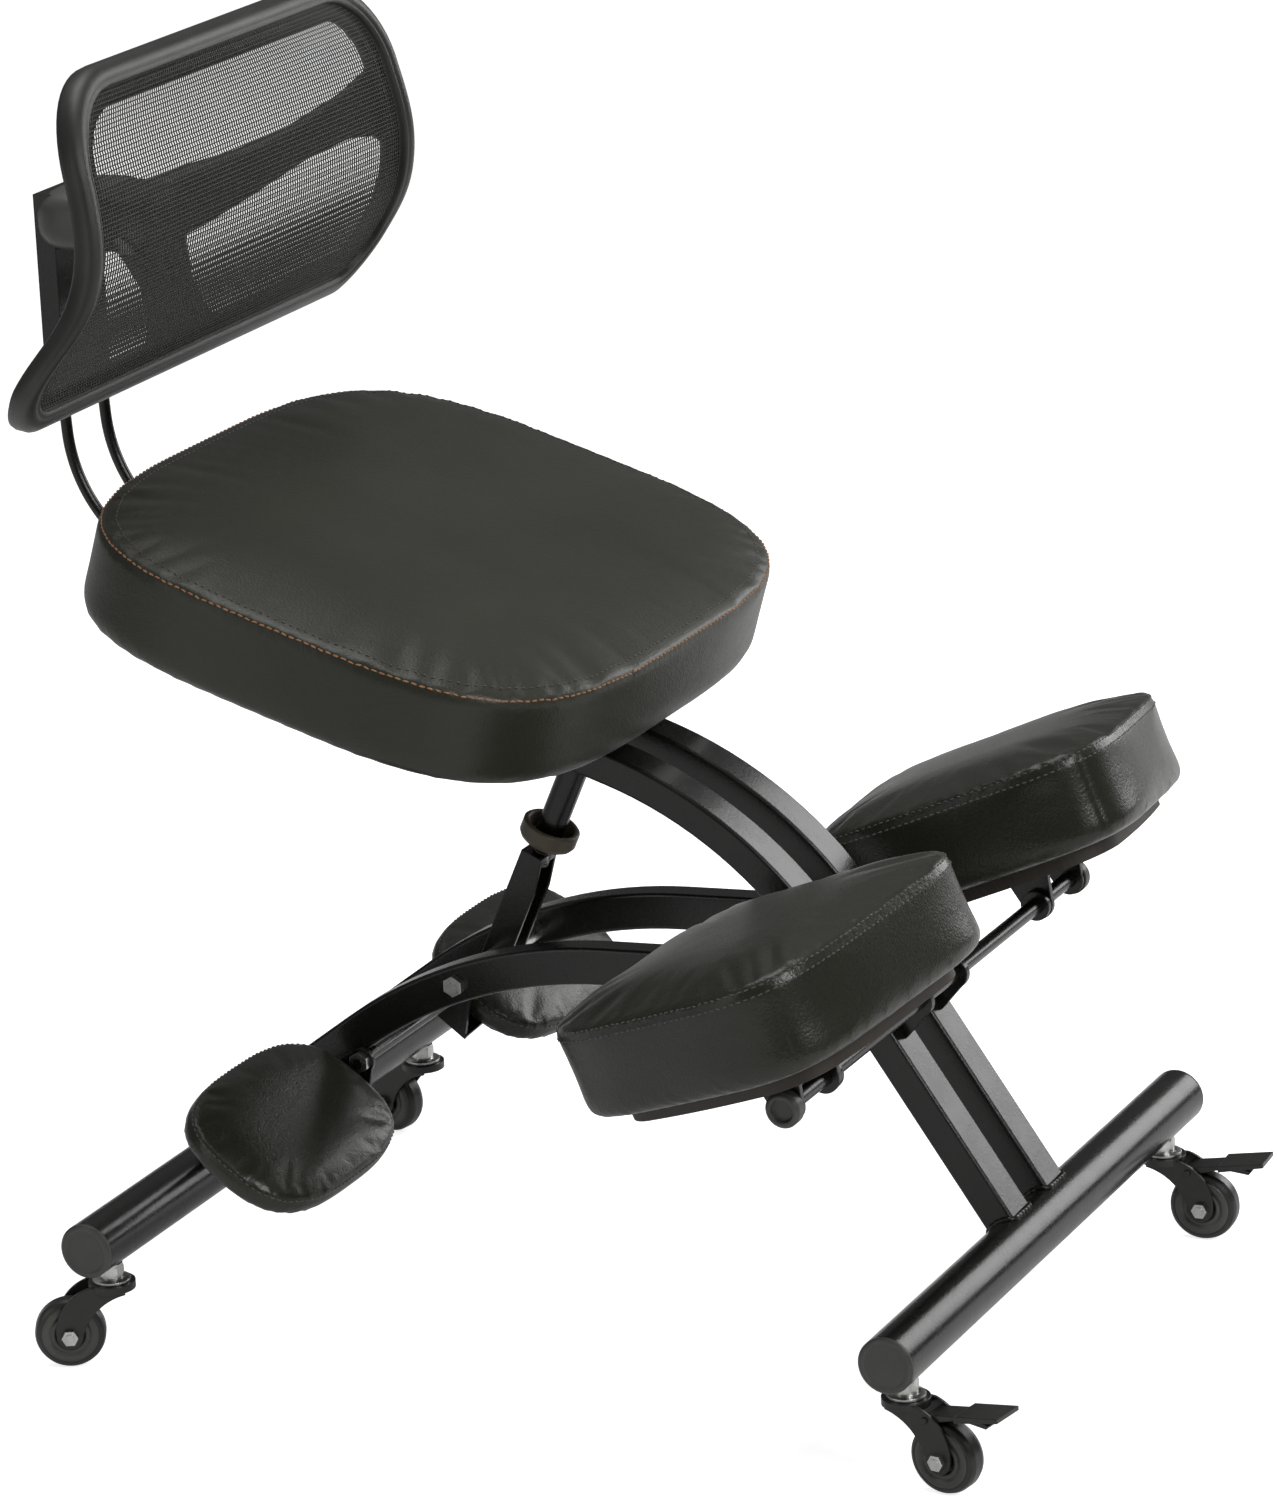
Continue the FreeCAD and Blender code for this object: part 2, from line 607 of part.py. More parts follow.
collar_outer = size.collar_diameter / 2
collar_x = size.knee_ear_inner - size.side_gap - size.collar_width
keep(ring_pair("collar", collar_outer, knee_rod_radius, collar_x, size.collar_width, knee_rod_at),
     "knee_rod_collars")
cap_x = size.knee_ear_outer + size.ear_sheet + size.side_gap
cap = new_body("knee_rod_cap", at(-cap_x, knee_rod_at.x, knee_rod_at.y, Rotation(Y_AXIS, -90)))
cap_length = 9.0
cap_outer = collar_outer + 1.5
revolve(cap, [
    (knee_rod_radius, 0), (cap_outer, 0), (cap_outer, cap_length - 2), (cap_outer - 2, cap_length),
    (cap_outer - 4, cap_length), (cap_outer - 5, cap_length - 3), (0, cap_length - 3),
    (0, size.knee_rod_half - cap_x), (knee_rod_radius, size.knee_rod_half - cap_x),
])
keep(group("knee_rod_cap_pair", cap, mirrored("knee_rod_cap_other", cap)), "knee_rod_end_caps")


# Cushions: closed outlines with bowed sides and round corners, lofted from the board to the crown

def pad_outline(half_x, half_y, power, z, taper=0.0):
    """Eight arcs through points of a rounded rectangle. Taper widens it towards the front."""
    def point(degrees):
        turn = math.radians(degrees)
        x = half_x * math.copysign(abs(math.cos(turn)) ** (2 / power), math.cos(turn))
        y = half_y * math.copysign(abs(math.sin(turn)) ** (2 / power), math.sin(turn))
        return Vector(x * (1 - taper * y / half_y), y, z)
    stops = [(-20, 0, 20), (20, 45, 70), (70, 90, 110), (110, 135, 160),
             (160, 180, 200), (200, 225, 250), (250, 270, 290), (290, 315, 340)]
    return Part.Wire([Part.Arc(*[point(stop) for stop in stops_of_arc]).toShape() for stops_of_arc in stops])


def cushion(half_x, half_y, power, rim, crown, tuck, waist, taper=0.0, edge=8.0):
    """Cushion standing on z = 0: tucked under, drawn in at the waist, rounded over at the rim."""
    def ring_at(inset, z):
        return pad_outline(half_x - inset, half_y - inset, power, z, taper)
    reach = min(half_x, half_y)
    wall = [
        ring_at(tuck, 0), ring_at(tuck * 0.25, edge * 0.45), ring_at(0, edge * 1.2),
        ring_at(waist, rim * 0.45), ring_at(0, rim - edge * 1.3), ring_at(edge * 0.25, rim - edge * 0.45),
        ring_at(edge * 1.1, rim),
    ]
    dome = [ring_at(edge * 1.1, rim)] + [
        ring_at(reach * share, rim + crown * rise_share)
        for share, rise_share in ((0.22, 0.45), (0.42, 0.75), (0.64, 0.93), (0.86, 1.0))
    ]
    return Part.makeLoft(wall, True, True).fuse(Part.makeLoft(dome, True, True)).removeSplitter()


def board(half_x, half_y, power, thickness, taper=0.0):
    outline = Part.Face(pad_outline(half_x, half_y, power, 0, taper))
    return outline.extrude(Vector(0, 0, thickness))


seat_power = 3.6
knee_power = 4.3
foot_power = 3.0
knee_taper = 0.09


# Seat on its plate

seat_turn = Rotation(X_AXIS, size.seat_angle)
seat_at = main_corner + slope * size.seat_reach + left_normal(slope) * size.main_rail_depth / 2


def on_seat(x, y, z):
    """Placement in the seat's plane, y along the slope and z above the rails."""
    return at(0, seat_at.x, seat_at.y, seat_turn).multiply(Placement(Vector(x, y, z), Rotation()))


plate = block("plate_sheet", "seat_plate_width", "seat_plate_length", "seat_plate", on_seat(0, 0, 0))
screw_spots = [(x * size.screw_pitch_x / 2, y * size.screw_pitch_y / 2) for x in (-1, 1) for y in (-1, 1)]
plate_holes = [cylinder("plate_hole", "screw_shank / 2", "seat_plate", on_seat(x, y, 0)) for x, y in screw_spots]
keep(cut("plate_cut", plate, *plate_holes), "seat_plate")
bolt_shape = Part.makeCylinder(size.screw_shank / 2, size.seat_plate + size.seat_board * 0.7)
bolt_shape = bolt_shape.fuse(Part.makeCylinder(size.screw_head / 2, 3.0, Vector(0, 0, -3.0)))
keep(group("seat_screw_set", *[solid("seat_screw", bolt_shape, on_seat(x, y, 0)) for x, y in screw_spots]),
     "seat_screws")
seat_board_inset = 40.0
seat_board_solid = solid("seat_board_sheet", board(size.seat_half_width - seat_board_inset,
                         size.seat_half_depth - seat_board_inset, seat_power, size.seat_board),
                         on_seat(0, 0, size.seat_plate))
board_holes = [
    cylinder("board_hole", "screw_shank / 2", "seat_board * 0.7", on_seat(x, y, size.seat_plate))
    for x, y in screw_spots
]
keep(cut("seat_board_cut", seat_board_solid, *board_holes), "seat_board")
keep(solid("seat_pad", cushion(size.seat_half_width, size.seat_half_depth, seat_power,
                               size.seat_cushion_height, size.seat_crown, 10, 2.5, edge=9.0),
           on_seat(0, 0, size.seat_plate + size.seat_board)), "seat_cushion")


# Knee pads: the right one is built and the left one is its mirror image

knee_turn = Rotation(Z_AXIS, -size.knee_yaw).multiply(Rotation(X_AXIS, -size.knee_tilt))
knee_turn = knee_turn.multiply(Rotation(Y_AXIS, -size.knee_roll))
knee_frame = at(-size.knee_pad_x, knee_rod_at.x + size.knee_pad_back, knee_rod_at.y + size.knee_pad_rise,
                knee_turn)


def on_knee(x, y, z):
    return knee_frame.multiply(Placement(Vector(x, y, z), Rotation()))


def both(name, item):
    keep(item, name + "_right")
    keep(mirrored(name + "_mirror", item), name + "_left")


both("knee_cushion", solid("knee_pad", cushion(size.knee_half_width, size.knee_half_depth, knee_power,
                           size.knee_cushion_height, size.knee_crown, 7, 3.0, knee_taper),
                           on_knee(0, 0, size.knee_board)))
knee_board_inset = 24.0
both("knee_board", solid("knee_board_sheet", board(size.knee_half_width - knee_board_inset,
                         size.knee_half_depth - knee_board_inset, knee_power, size.knee_board, knee_taper),
                         on_knee(0, 0, 0)))
knee_plate = block("knee_plate", "knee_ear_outer - knee_ear_inner + 44", "90", "bracket_sheet",
                   on_knee(size.knee_pad_x - (size.knee_ear_inner + size.knee_ear_outer) / 2, 0,
                           -size.bracket_sheet))
above_plate = block("above_plate", "400", "400", "200", on_knee(0, 0, -size.bracket_sheet / 2))
ears = []
for x in (size.knee_ear_inner, size.knee_ear_outer):
    ear = new_body("knee_ear", at(-x - size.ear_sheet / 2, knee_rod_at.x, knee_rod_at.y))
    turn = math.radians(size.knee_tilt)
    up = Vector(math.sin(turn), math.cos(turn), 0)
    along = Vector(math.cos(turn), -math.sin(turn), 0)
    top = 46.0
    wide = 22.0
    pad(ear, sketch(ear, "YZ_Plane", [
        Part.Arc(along * -size.ear_round, up * -size.ear_round, along * size.ear_round),
        Part.LineSegment(along * size.ear_round, along * wide + up * top),
        Part.LineSegment(along * wide + up * top, along * -wide + up * top),
        Part.LineSegment(along * -wide + up * top, along * -size.ear_round),
    ]), "ear_sheet")
    ears.append(ear)
ear_bore = cross_rod("ear_bore", "knee_rod_diameter / 2 + running_gap", "300", 150, knee_rod_at.x,
                     knee_rod_at.y, -(size.knee_ear_inner + size.knee_ear_outer) / 2)
both("knee_bracket", fuse("knee_bracket_solid", cut("knee_ears", fuse("knee_ear_pair", *ears), above_plate,
                                                    ear_bore), knee_plate))


# Foot rod welded under the rear rails, with a nut at each end

keep(cross_rod("foot_rod_bar", "foot_rod_diameter / 2", "2 * foot_rod_half", size.foot_rod_half,
               foot_rod_at.x, foot_rod_at.y), "foot_rod")
ear_x = rear_outside + 1.5
nut_x = ear_x + size.bracket_sheet + size.side_gap
nut = hexagon("foot_nut", "foot_rod_diameter * 1.6", "5", at(-nut_x, foot_rod_at.x, foot_rod_at.y,
                                                             Rotation(Z_AXIS, -X_AXIS)))
nut_bore = cylinder("foot_nut_bore", "foot_rod_diameter / 2", "5", nut.Placement)
foot_nut = cut("foot_nut_cut", nut, nut_bore)
keep(group("foot_nut_pair", foot_nut, mirrored("foot_nut_other", foot_nut)), "foot_rod_nuts")

foot_turn = Rotation(X_AXIS, size.foot_tilt)
foot_shift = foot_turn.multVec(Vector(0, size.foot_pad_back, -size.foot_pad_drop))
foot_frame = at(-size.foot_pad_x, foot_rod_at.x, foot_rod_at.y, foot_turn)
foot_frame.Base = foot_frame.Base + foot_shift


def on_foot(x, y, z):
    return foot_frame.multiply(Placement(Vector(x, y, z), Rotation()))


both("foot_cushion", solid("foot_pad", cushion(size.foot_half_width, size.foot_half_depth, foot_power,
                           size.foot_cushion_height, size.foot_crown, 3, 0.5, edge=5.0),
                           on_foot(0, 0, size.foot_board)))
foot_board_inset = 14.0
both("foot_board", solid("foot_board_sheet", board(size.foot_half_width - foot_board_inset,
                         size.foot_half_depth - foot_board_inset, foot_power, size.foot_board),
                         on_foot(0, 0, 0)))
wing_end = size.foot_pad_x - ear_x
foot_bracket = new_body("foot_bracket", foot_frame)
ear_low = -size.bracket_sheet
rod_y = -size.foot_pad_back
rod_z = size.foot_pad_drop
ear_half = 9.0
pad(foot_bracket, sketch(foot_bracket, "YZ_Plane", [
    Part.LineSegment(Vector(rod_y - 22, ear_low, 0), Vector(rod_y + 22, ear_low, 0)),
    Part.LineSegment(Vector(rod_y + 22, ear_low, 0), Vector(rod_y + ear_half, rod_z, 0)),
    Part.Arc(Vector(rod_y + ear_half, rod_z, 0), Vector(rod_y, rod_z + ear_half, 0),
             Vector(rod_y - ear_half, rod_z, 0)),
    Part.LineSegment(Vector(rod_y - ear_half, rod_z, 0), Vector(rod_y - 22, ear_low, 0)),
], wing_end - size.bracket_sheet), "bracket_sheet", midplane=False)
wing = [(wing_end, rod_y - 22), (wing_end, rod_y + 22), (-20, rod_y + 16), (-20, rod_y - 16)]
pad(foot_bracket, sketch(foot_bracket, "XY_Plane", closed(wing), ear_low), "bracket_sheet", midplane=False)
pocket(foot_bracket, sketch(foot_bracket, "YZ_Plane",
                            [circle(rod_y, rod_z, size.foot_rod_diameter / 2 + size.running_gap)],
                            wing_end + 1), "bracket_sheet + 2", midplane=False)
both("foot_bracket", foot_bracket)


# Backrest: two bent rods, a carrier bar, and a sprung frame that slides on the bar

rod_low = main_end - slope * 40 - left_normal(slope) * (size.rail_wall + size.back_rod_diameter / 2
                                                          - size.main_rail_depth / 2)
rod_high = Vector(size.carrier_y, size.carrier_bottom + 40, 0)
rod_rise = heading(86.5)
across = rod_low - rod_high
reach = across.cross(slope).z / rod_rise.cross(slope).z
rod_corner = rod_high + rod_rise * reach
path_points = bent_side(rod_low, rod_corner, rod_high, size.back_rod_bend, 0)


def lifted(point, x):
    return pos(x, point.x, point.y)


def bent_rod(name, x):
    p = [lifted(point, x) for point in path_points]
    path = Part.Wire([Part.makeLine(p[0], p[1]), Part.Arc(p[1], p[2], p[3]).toShape(), Part.makeLine(p[3], p[4])])
    profile = Part.Wire([Part.makeCircle(size.back_rod_diameter / 2, p[0], p[1] - p[0])])
    spine = solid(name + "_path", path)
    section = solid(name + "_section", profile)
    item = doc.addObject("Part::Sweep", name)
    item.Sections = [section]
    item.Spine = (spine, ["Edge1", "Edge2", "Edge3"])
    item.Solid = True
    return item


keep(group("back_rod_pair", bent_rod("back_rod_right", -size.back_rod_x), bent_rod("back_rod_left", size.back_rod_x)),
     "back_rods")
carrier_bar = block("carrier_bar", "carrier_width", "carrier_depth", "carrier_top - carrier_bottom",
                    at(0, size.carrier_y, size.carrier_bottom))
keep(cut("carrier_cut", carrier_bar, *[item for item in doc.getObject("back_rod_pair").Links]), "back_carrier")

# Side view of the mesh: an S of three arcs
back_front = [Vector(612, 639, 0), Vector(582, 686, 0), Vector(556, 726, 0), Vector(548.5, 763, 0),
              Vector(553.5, 800, 0), Vector(564, 838, 0), Vector(578, 875, 0)]


def back_curve(offset):
    """Spline edge of the backrest's side view, moved to the rear."""
    curve = Part.BSplineCurve()
    curve.interpolate([point + Vector(offset, 0, 0) for point in back_front])
    return curve


def back_sheet(name, front, depth, half):
    a = back_curve(front)
    b = back_curve(front + depth)
    first = a.toShape()
    second = b.toShape()
    bottom = Part.makeLine(a.StartPoint, b.StartPoint)
    top = Part.makeLine(a.EndPoint, b.EndPoint)
    face = Part.Face(Part.Wire(Part.__sortEdges__([first, top, second, bottom])))
    strip = face.extrude(Vector(0, 0, 2 * half))
    turn = Rotation(Vector(0, 1, 0), Vector(0, 0, 1), Vector(1, 0, 0), "XYZ")
    return strip, turn


def front_outline(half_top, half_low, low, high, top_round, low_round):
    """Closed outline seen from the front, wider below, with round corners, as (x, z)."""
    k = math.sqrt(0.5)
    def corner(x, z, sx, sz, r):
        return Vector(x + sx * r * (k - 1), z + sz * r * (k - 1), 0)
    p = [Vector(-half_low + low_round, low, 0), Vector(half_low - low_round, low, 0),
         Vector(half_low, low + low_round, 0), Vector(half_top, high - top_round, 0),
         Vector(half_top - top_round, high, 0), Vector(-half_top + top_round, high, 0),
         Vector(-half_top, high - top_round, 0), Vector(-half_low, low + low_round, 0)]
    return [
        Part.LineSegment(p[0], p[1]),
        Part.Arc(p[1], corner(half_low, low, 1, -1, low_round), p[2]),
        Part.LineSegment(p[2], p[3]),
        Part.Arc(p[3], corner(half_top, high, 1, 1, top_round), p[4]),
        Part.LineSegment(p[4], p[5]),
        Part.Arc(p[5], corner(-half_top, high, -1, 1, top_round), p[6]),
        Part.LineSegment(p[6], p[7]),
        Part.Arc(p[7], corner(-half_low, low, -1, -1, low_round), p[0]),
    ]


def back_piece(name, front, depth, outline, window):
    """Curved sheet with a front outline and an optional window."""
    def prism(edges):
        moved = []
        for edge in edges:
            shape = edge.toShape()
            shape.transformShape(FreeCAD.Matrix(1, 0, 0, 0, 0, 0, 1, 500, 0, 1, 0, 0, 0, 0, 0, 1))
            moved.append(shape)
        return Part.Face(Part.Wire(Part.__sortEdges__(moved))).extrude(Vector(0, 200, 0))
    strip, turn = back_sheet(name, front, depth, size.back_half_width + 40)
    matrix = FreeCAD.Matrix(0, 0, 1, -size.back_half_width - 40, 1, 0, 0, 0, 0, 1, 0, 0, 0, 0, 0, 1)
    strip.transformShape(matrix)
    shape = strip.common(prism(outline))
    if window:
        shape = shape.cut(prism(window))
    return shape


back_low = back_front[0].y + 1
back_high = back_front[-1].y - 1
low_half = size.back_half_width + 16
outer = front_outline(size.back_half_width, low_half, back_low, back_high, 68, 26)
inner = front_outline(size.back_half_width - size.back_border, low_half - size.back_border,
                      back_low + size.back_border, back_high - size.back_border, 46, 16)
frame_ring = back_piece("ring", -size.back_lip, size.back_lip + size.mesh_thickness + size.back_frame_depth,
                        outer, inner)

hub_front = size.carrier_y - size.carrier_depth / 2 - 4 - size.hub_depth
hub_middle = size.hub_bottom + size.hub_height / 2


def arm(points, widths, depths):
    """Tapered bar through rectangular sections, each square to Z or X."""
    sections = []
    for (x, y, z), (a, b), (depth) in zip(points, widths, depths):
        corners = [Vector(x - a, y, z - b), Vector(x + a, y, z + b), Vector(x + a, y + depth, z + b),
                   Vector(x - a, y + depth, z - b)]
        sections.append(Part.makePolygon(corners + corners[:1]))
    return Part.makeLoft(sections, True, False)


hub_face = 622.0
side_arm = arm([(30, hub_face, hub_middle), (110, 582, hub_middle + 24), (low_half - 26, 560, hub_middle + 44)],
               [(-4, 17), (-4, 14), (-3, 14)], [30, 16, 10])
other_arm = side_arm.mirror(Vector(0, 0, 0), X_AXIS)
stem_arm = arm([(0, hub_face, hub_middle - 14), (0, 616, 690), (0, 612, 654)],
               [(22, 3), (20, 3), (20, 3)], [30, 20, 12])
hub_block = Part.makeBox(68, size.carrier_y - 30 - hub_face, size.hub_height - 4,
                         Vector(-34, hub_face, size.hub_bottom + 2))
back_solid = frame_ring
for piece in (side_arm, other_arm, stem_arm, hub_block):
    back_solid = back_solid.fuse(piece)
keep(solid("back_frame_solid", back_solid.removeSplitter(), at(0, 0, 0)), "back_frame")
keep(solid("mesh_sheet", back_piece("mesh", 0, size.mesh_thickness, inner, None), at(0, 0, 0)), "back_mesh")

hub = new_body("hub", at(0, size.carrier_y + size.carrier_depth / 2 + 5 - size.hub_depth / 2, size.hub_bottom))
hub_half = size.hub_width / 2
hub_half_depth = size.hub_depth / 2
hub_pad = pad(hub, sketch(hub, "XY_Plane", closed([(-hub_half, -hub_half_depth + 6), (-hub_half + 8, -hub_half_depth),
              (hub_half - 8, -hub_half_depth), (hub_half, -hub_half_depth + 6), (hub_half, hub_half_depth - 14),
              (hub_half - 14, hub_half_depth), (-hub_half + 14, hub_half_depth),
              (-hub_half, hub_half_depth - 14)])), "hub_height", midplane=False)
doc.recompute()
rims = [f"Edge{n}" for n, edge in enumerate(hub_pad.Shape.Edges, start=1)
        if all(abs(v.Z - edge.Vertexes[0].Z) < 0.001 for v in edge.Vertexes)]
round_edges(hub, hub_pad, rims, "cap_flange")
slot_y = hub_half_depth - 5 - size.carrier_depth / 2
slot_x = size.carrier_width / 2 + size.side_gap
slot_half = size.carrier_depth / 2 + size.side_gap
pocket(hub, sketch(hub, "XY_Plane", closed([(-slot_x, slot_y - slot_half), (slot_x, slot_y - slot_half),
                                            (slot_x, slot_y + slot_half), (-slot_x, slot_y + slot_half)]), -1),
       "hub_height + 2", midplane=False, reverse=True)
block_room = solid("hub_block_room", hub_block, at(0, 0, 0))
keep(cut("hub_cut", hub, block_room), "hub_cover")


# Casters

axle_height = size.wheel_diameter / 2


def stems(name, y):
    """Swivel pin with its head, flange, nut and threaded stem in the tube."""
    pin = size.stem_pin / 2
    disc_low = size.fork_top - size.fork_disc_height
    flange = size.fork_top + size.side_gap
    bottom = size.bar_height - bar_radius
    points = [
        (0, disc_low - 2.3), (pin + 2.5, disc_low - 2.3), (pin + 2.5, disc_low - 0.3), (pin, disc_low - 0.3),
        (pin, flange), (13, flange), (13, flange + 1.8), (10, flange + 2.7), (8, flange + 2.7),
        (8, bottom), (size.stem_diameter / 2, bottom), (size.stem_diameter / 2, bottom + 16), (0, bottom + 16),
    ]
    items = []
    for side in (-1, 1):
        stem = new_body(name, at(side * size.stem_x, y, 0))
        revolve(stem, points)
        nut = hexagon(name + "_nut", "stem_nut", "6", at(side * size.stem_x, y, bottom - 8))
        items.append(fuse(name + "_solid", stem, nut))
    return group(name + "_pair", *items)


keep(stems("front_stem", 0), "front_caster_stems")
keep(stems("rear_stem", size.wheelbase), "rear_caster_stems")

pedal_pin_at = Vector(21, 50.5, 0)


def fork_body(name, placement, braked):
    body = new_body(name, placement)
    top = size.fork_top - 1
    axle = Vector(size.trail, axle_height, 0)
    disc_low = size.fork_top - size.fork_disc_height
    pad(body, sketch(body, "XZ_Plane", [
        Part.LineSegment(Vector(-9, top - 6, 0), Vector(-9, top, 0)),
        Part.LineSegment(Vector(-9, top, 0), Vector(15, top, 0)),
        Part.Arc(Vector(15, top, 0), Vector(32, 47, 0), axle + Vector(9, 0, 0)),
        Part.Arc(axle + Vector(9, 0, 0), axle + Vector(0, -9, 0), axle + Vector(-9, 0, 0)),
        Part.Arc(axle + Vector(-9, 0, 0), Vector(11, 41, 0), Vector(-9, top - 6, 0)),
    ]), "fork_width")
    gap = [(-12, axle_height - 14), (60, axle_height - 14), (60, 60), (17, 60), (8, disc_low), (-12, disc_low)]
    pocket(body, sketch(body, "XZ_Plane", closed(gap)), "fork_gap")
    pad(body, sketch(body, "XY_Plane", [circle(0, 0, size.fork_disc / 2)], size.fork_top - size.fork_disc_height),
        "fork_disc_height", midplane=False)
    pocket(body, sketch(body, "XY_Plane", [circle(0, 0, size.stem_pin / 2 + size.running_gap)], size.fork_top + 1),
           "fork_disc_height + 8", midplane=False)
    pocket(body, sketch(body, "XZ_Plane", [circle(axle.x, axle.y, size.axle_diameter / 2)]), "fork_width + 2")
    if braked:
        pocket(body, sketch(body, "XZ_Plane", [circle(pedal_pin_at.x, pedal_pin_at.y, size.pedal_pin / 2
                                                      + size.running_gap)]), "fork_width + 2")
    return body


def wheel_body(name, placement):
    """Moulded wheel: boss, thin web and a crowned tread."""
    body = new_body(name, placement)
    radius = size.wheel_diameter / 2
    half = size.wheel_width / 2
    boss = size.wheel_boss / 2
    bore = size.axle_diameter / 2 + size.running_gap
    side = [(bore, boss), (6, boss), (7.5, half - 3.5), (13, half - 3.5), (14.5, half - 0.8), (18, half),
            (radius - 3.2, half), (radius - 1, half - 1.6), (radius, half - 4.5)]
    revolve(body, side + [(r, -w) for r, w in reversed(side)])
    return body


def axle_solid(name, placement):
    """Bolt through the fork, head and nut outside it."""
    half = size.fork_width / 2
    shank = cylinder(name + "_shank", "axle_diameter / 2", "fork_width + 8",
                     placement.multiply(Placement(Vector(0, 0, -half - 4), Rotation())))
    ends = [hexagon(name + "_end", "axle_nut", "3.6", placement.multiply(Placement(Vector(0, 0, z), Rotation())))
            for z in (-half - 3.6, half)]
    return fuse(name + "_solid", shank, *ends)


def pedal_solid(name, placement):
    """Brake pedal on its pin: tread plate, side cheeks and a lower release tab."""
    body = new_body(name, placement)
    pin = pedal_pin_at
    sheet_height = size.pedal_sheet
    tip = Vector(size.pedal_reach, size.pedal_tip, 0)
    knee = Vector(41, 53.4, 0)
    lift = Vector(0, sheet_height, 0)
    pad(body, sketch(body, "XZ_Plane", [
        Part.Arc(pin + Vector(0, 2.8, 0), pin + Vector(-2.8, 0, 0), pin + Vector(0, -2.8, 0)),
        Part.LineSegment(pin + Vector(0, -2.8, 0), knee),
        Part.LineSegment(knee, Vector(46, 54.2, 0)),
        Part.LineSegment(Vector(46, 54.2, 0), Vector(46, 54.2, 0) + lift),
        Part.LineSegment(Vector(46, 54.2, 0) + lift, pin + Vector(0, 2.8, 0)),
    ]), "fork_gap - 2 * side_gap")
    start = Vector(43.5, 53.5, 0)
    pad(body, sketch(body, "XZ_Plane", [
        Part.LineSegment(start, tip - lift),
        Part.LineSegment(tip - lift, tip),
        Part.LineSegment(tip, start + lift + Vector(0, 1.5, 0)),
        Part.LineSegment(start + lift + Vector(0, 1.5, 0), start),
    ]), "pedal_width")
    pad(body, sketch(body, "XZ_Plane", closed([(44, 53.8), (64, 51.5), (66, 54), (52, 56.8)])), "pedal_width * 0.55")
    pad(body, sketch(body, "XZ_Plane", [circle(pin.x, pin.y, size.pedal_pin / 2)]), "fork_width + 3")
    return body


CASTERS = [
    ("front_left", 1, 0.0, 2.0, -31.0, True),
    ("front_right", -1, 0.0, -6.0, -36.0, True),
    ("rear_left", 1, size.wheelbase, 7.0, 38.0, False),
    ("rear_right", -1, size.wheelbase, -15.0, 28.0, False),
]
for label, side, y, lead_x, lead_y, braked in CASTERS:
    swivel = Rotation(Z_AXIS, math.degrees(math.atan2(lead_y, lead_x)))
    spot = at(side * size.stem_x, y, 0, swivel)
    axle_spot = spot.multiply(Placement(Vector(size.trail, 0, axle_height), Rotation(X_AXIS, -90)))
    keep(fork_body("fork_" + label, spot, braked), "caster_fork_" + label)
    keep(wheel_body("wheel_" + label, axle_spot), "caster_wheel_" + label)
    keep(axle_solid("axle_" + label, axle_spot), "caster_axle_" + label)
    if braked:
        keep(pedal_solid("pedal_" + label, spot), "brake_pedal_" + label)


# Check every object, then write one file for each sub-part

doc.recompute()
for item in doc.Objects:
    if "Invalid" in item.State or "Error" in item.State:
        raise RuntimeError(f"{item.Label}: {item.State}")
os.makedirs("parts", exist_ok=True)
box = FreeCAD.BoundBox()
for item in nodes:
    shape = item.Shape
    if shape.isNull() or not shape.isValid() or not shape.Solids:
        raise RuntimeError(f"{item.Label}: no valid solid")
    box.add(shape.BoundBox)
    shape.exportStep(os.path.join("parts", item.Label + ".step"))
print(len(nodes), "nodes, box", box)
for name, point in (("hinge", hinge), ("strut_top", strut_top), ("strut_foot", strut_foot),
                    ("knee_rod", knee_rod_at), ("foot_rod", foot_rod_at), ("rear_bar", rear_bar)):
    print(name, round(point.x + size.front_bar_y, 3), round(point.y, 3))
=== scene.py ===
import math
import random

import bmesh
import bpy
from mathutils import Matrix, Vector
from mathutils.bvhtree import BVHTree
from mathutils.kdtree import KDTree


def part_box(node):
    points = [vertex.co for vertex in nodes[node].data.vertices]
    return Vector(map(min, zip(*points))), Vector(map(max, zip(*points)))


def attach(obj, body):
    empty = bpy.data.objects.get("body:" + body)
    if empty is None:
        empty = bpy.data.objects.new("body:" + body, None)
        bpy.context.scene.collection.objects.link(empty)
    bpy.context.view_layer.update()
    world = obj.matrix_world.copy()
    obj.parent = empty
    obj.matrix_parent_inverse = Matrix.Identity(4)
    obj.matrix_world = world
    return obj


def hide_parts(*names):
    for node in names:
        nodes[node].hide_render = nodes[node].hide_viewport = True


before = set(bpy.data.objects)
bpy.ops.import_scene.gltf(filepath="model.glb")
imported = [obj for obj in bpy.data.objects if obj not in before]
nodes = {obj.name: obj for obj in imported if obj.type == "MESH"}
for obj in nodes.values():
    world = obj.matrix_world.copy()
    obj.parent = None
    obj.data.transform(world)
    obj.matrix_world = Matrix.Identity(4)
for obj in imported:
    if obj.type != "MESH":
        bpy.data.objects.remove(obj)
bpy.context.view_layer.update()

MM = 0.001

# Driving sizes of the CAD, in millimetres and degrees
FRONT_BAR_Y = -316.2
BAR_HEIGHT = 91.0
BAR_RADIUS = 19.0
WHEELBASE = 582.0
SEAT_RISE = 17.0
STRUT_LEAN = 24.2

scene = bpy.context.scene


def at(x, y, z):
    """A point given from the front cross tube, in millimetres, as a place in the frame."""
    return Vector((x, y + FRONT_BAR_Y, z)) * MM


def turned(x=0.0, y=0.0, z=0.0):
    """Rotation by y about Y first, then by x about X, then by z about Z, in degrees."""
    return (Matrix.Rotation(math.radians(z), 4, "Z") @ Matrix.Rotation(math.radians(x), 4, "X")
            @ Matrix.Rotation(math.radians(y), 4, "Y"))


# Materials


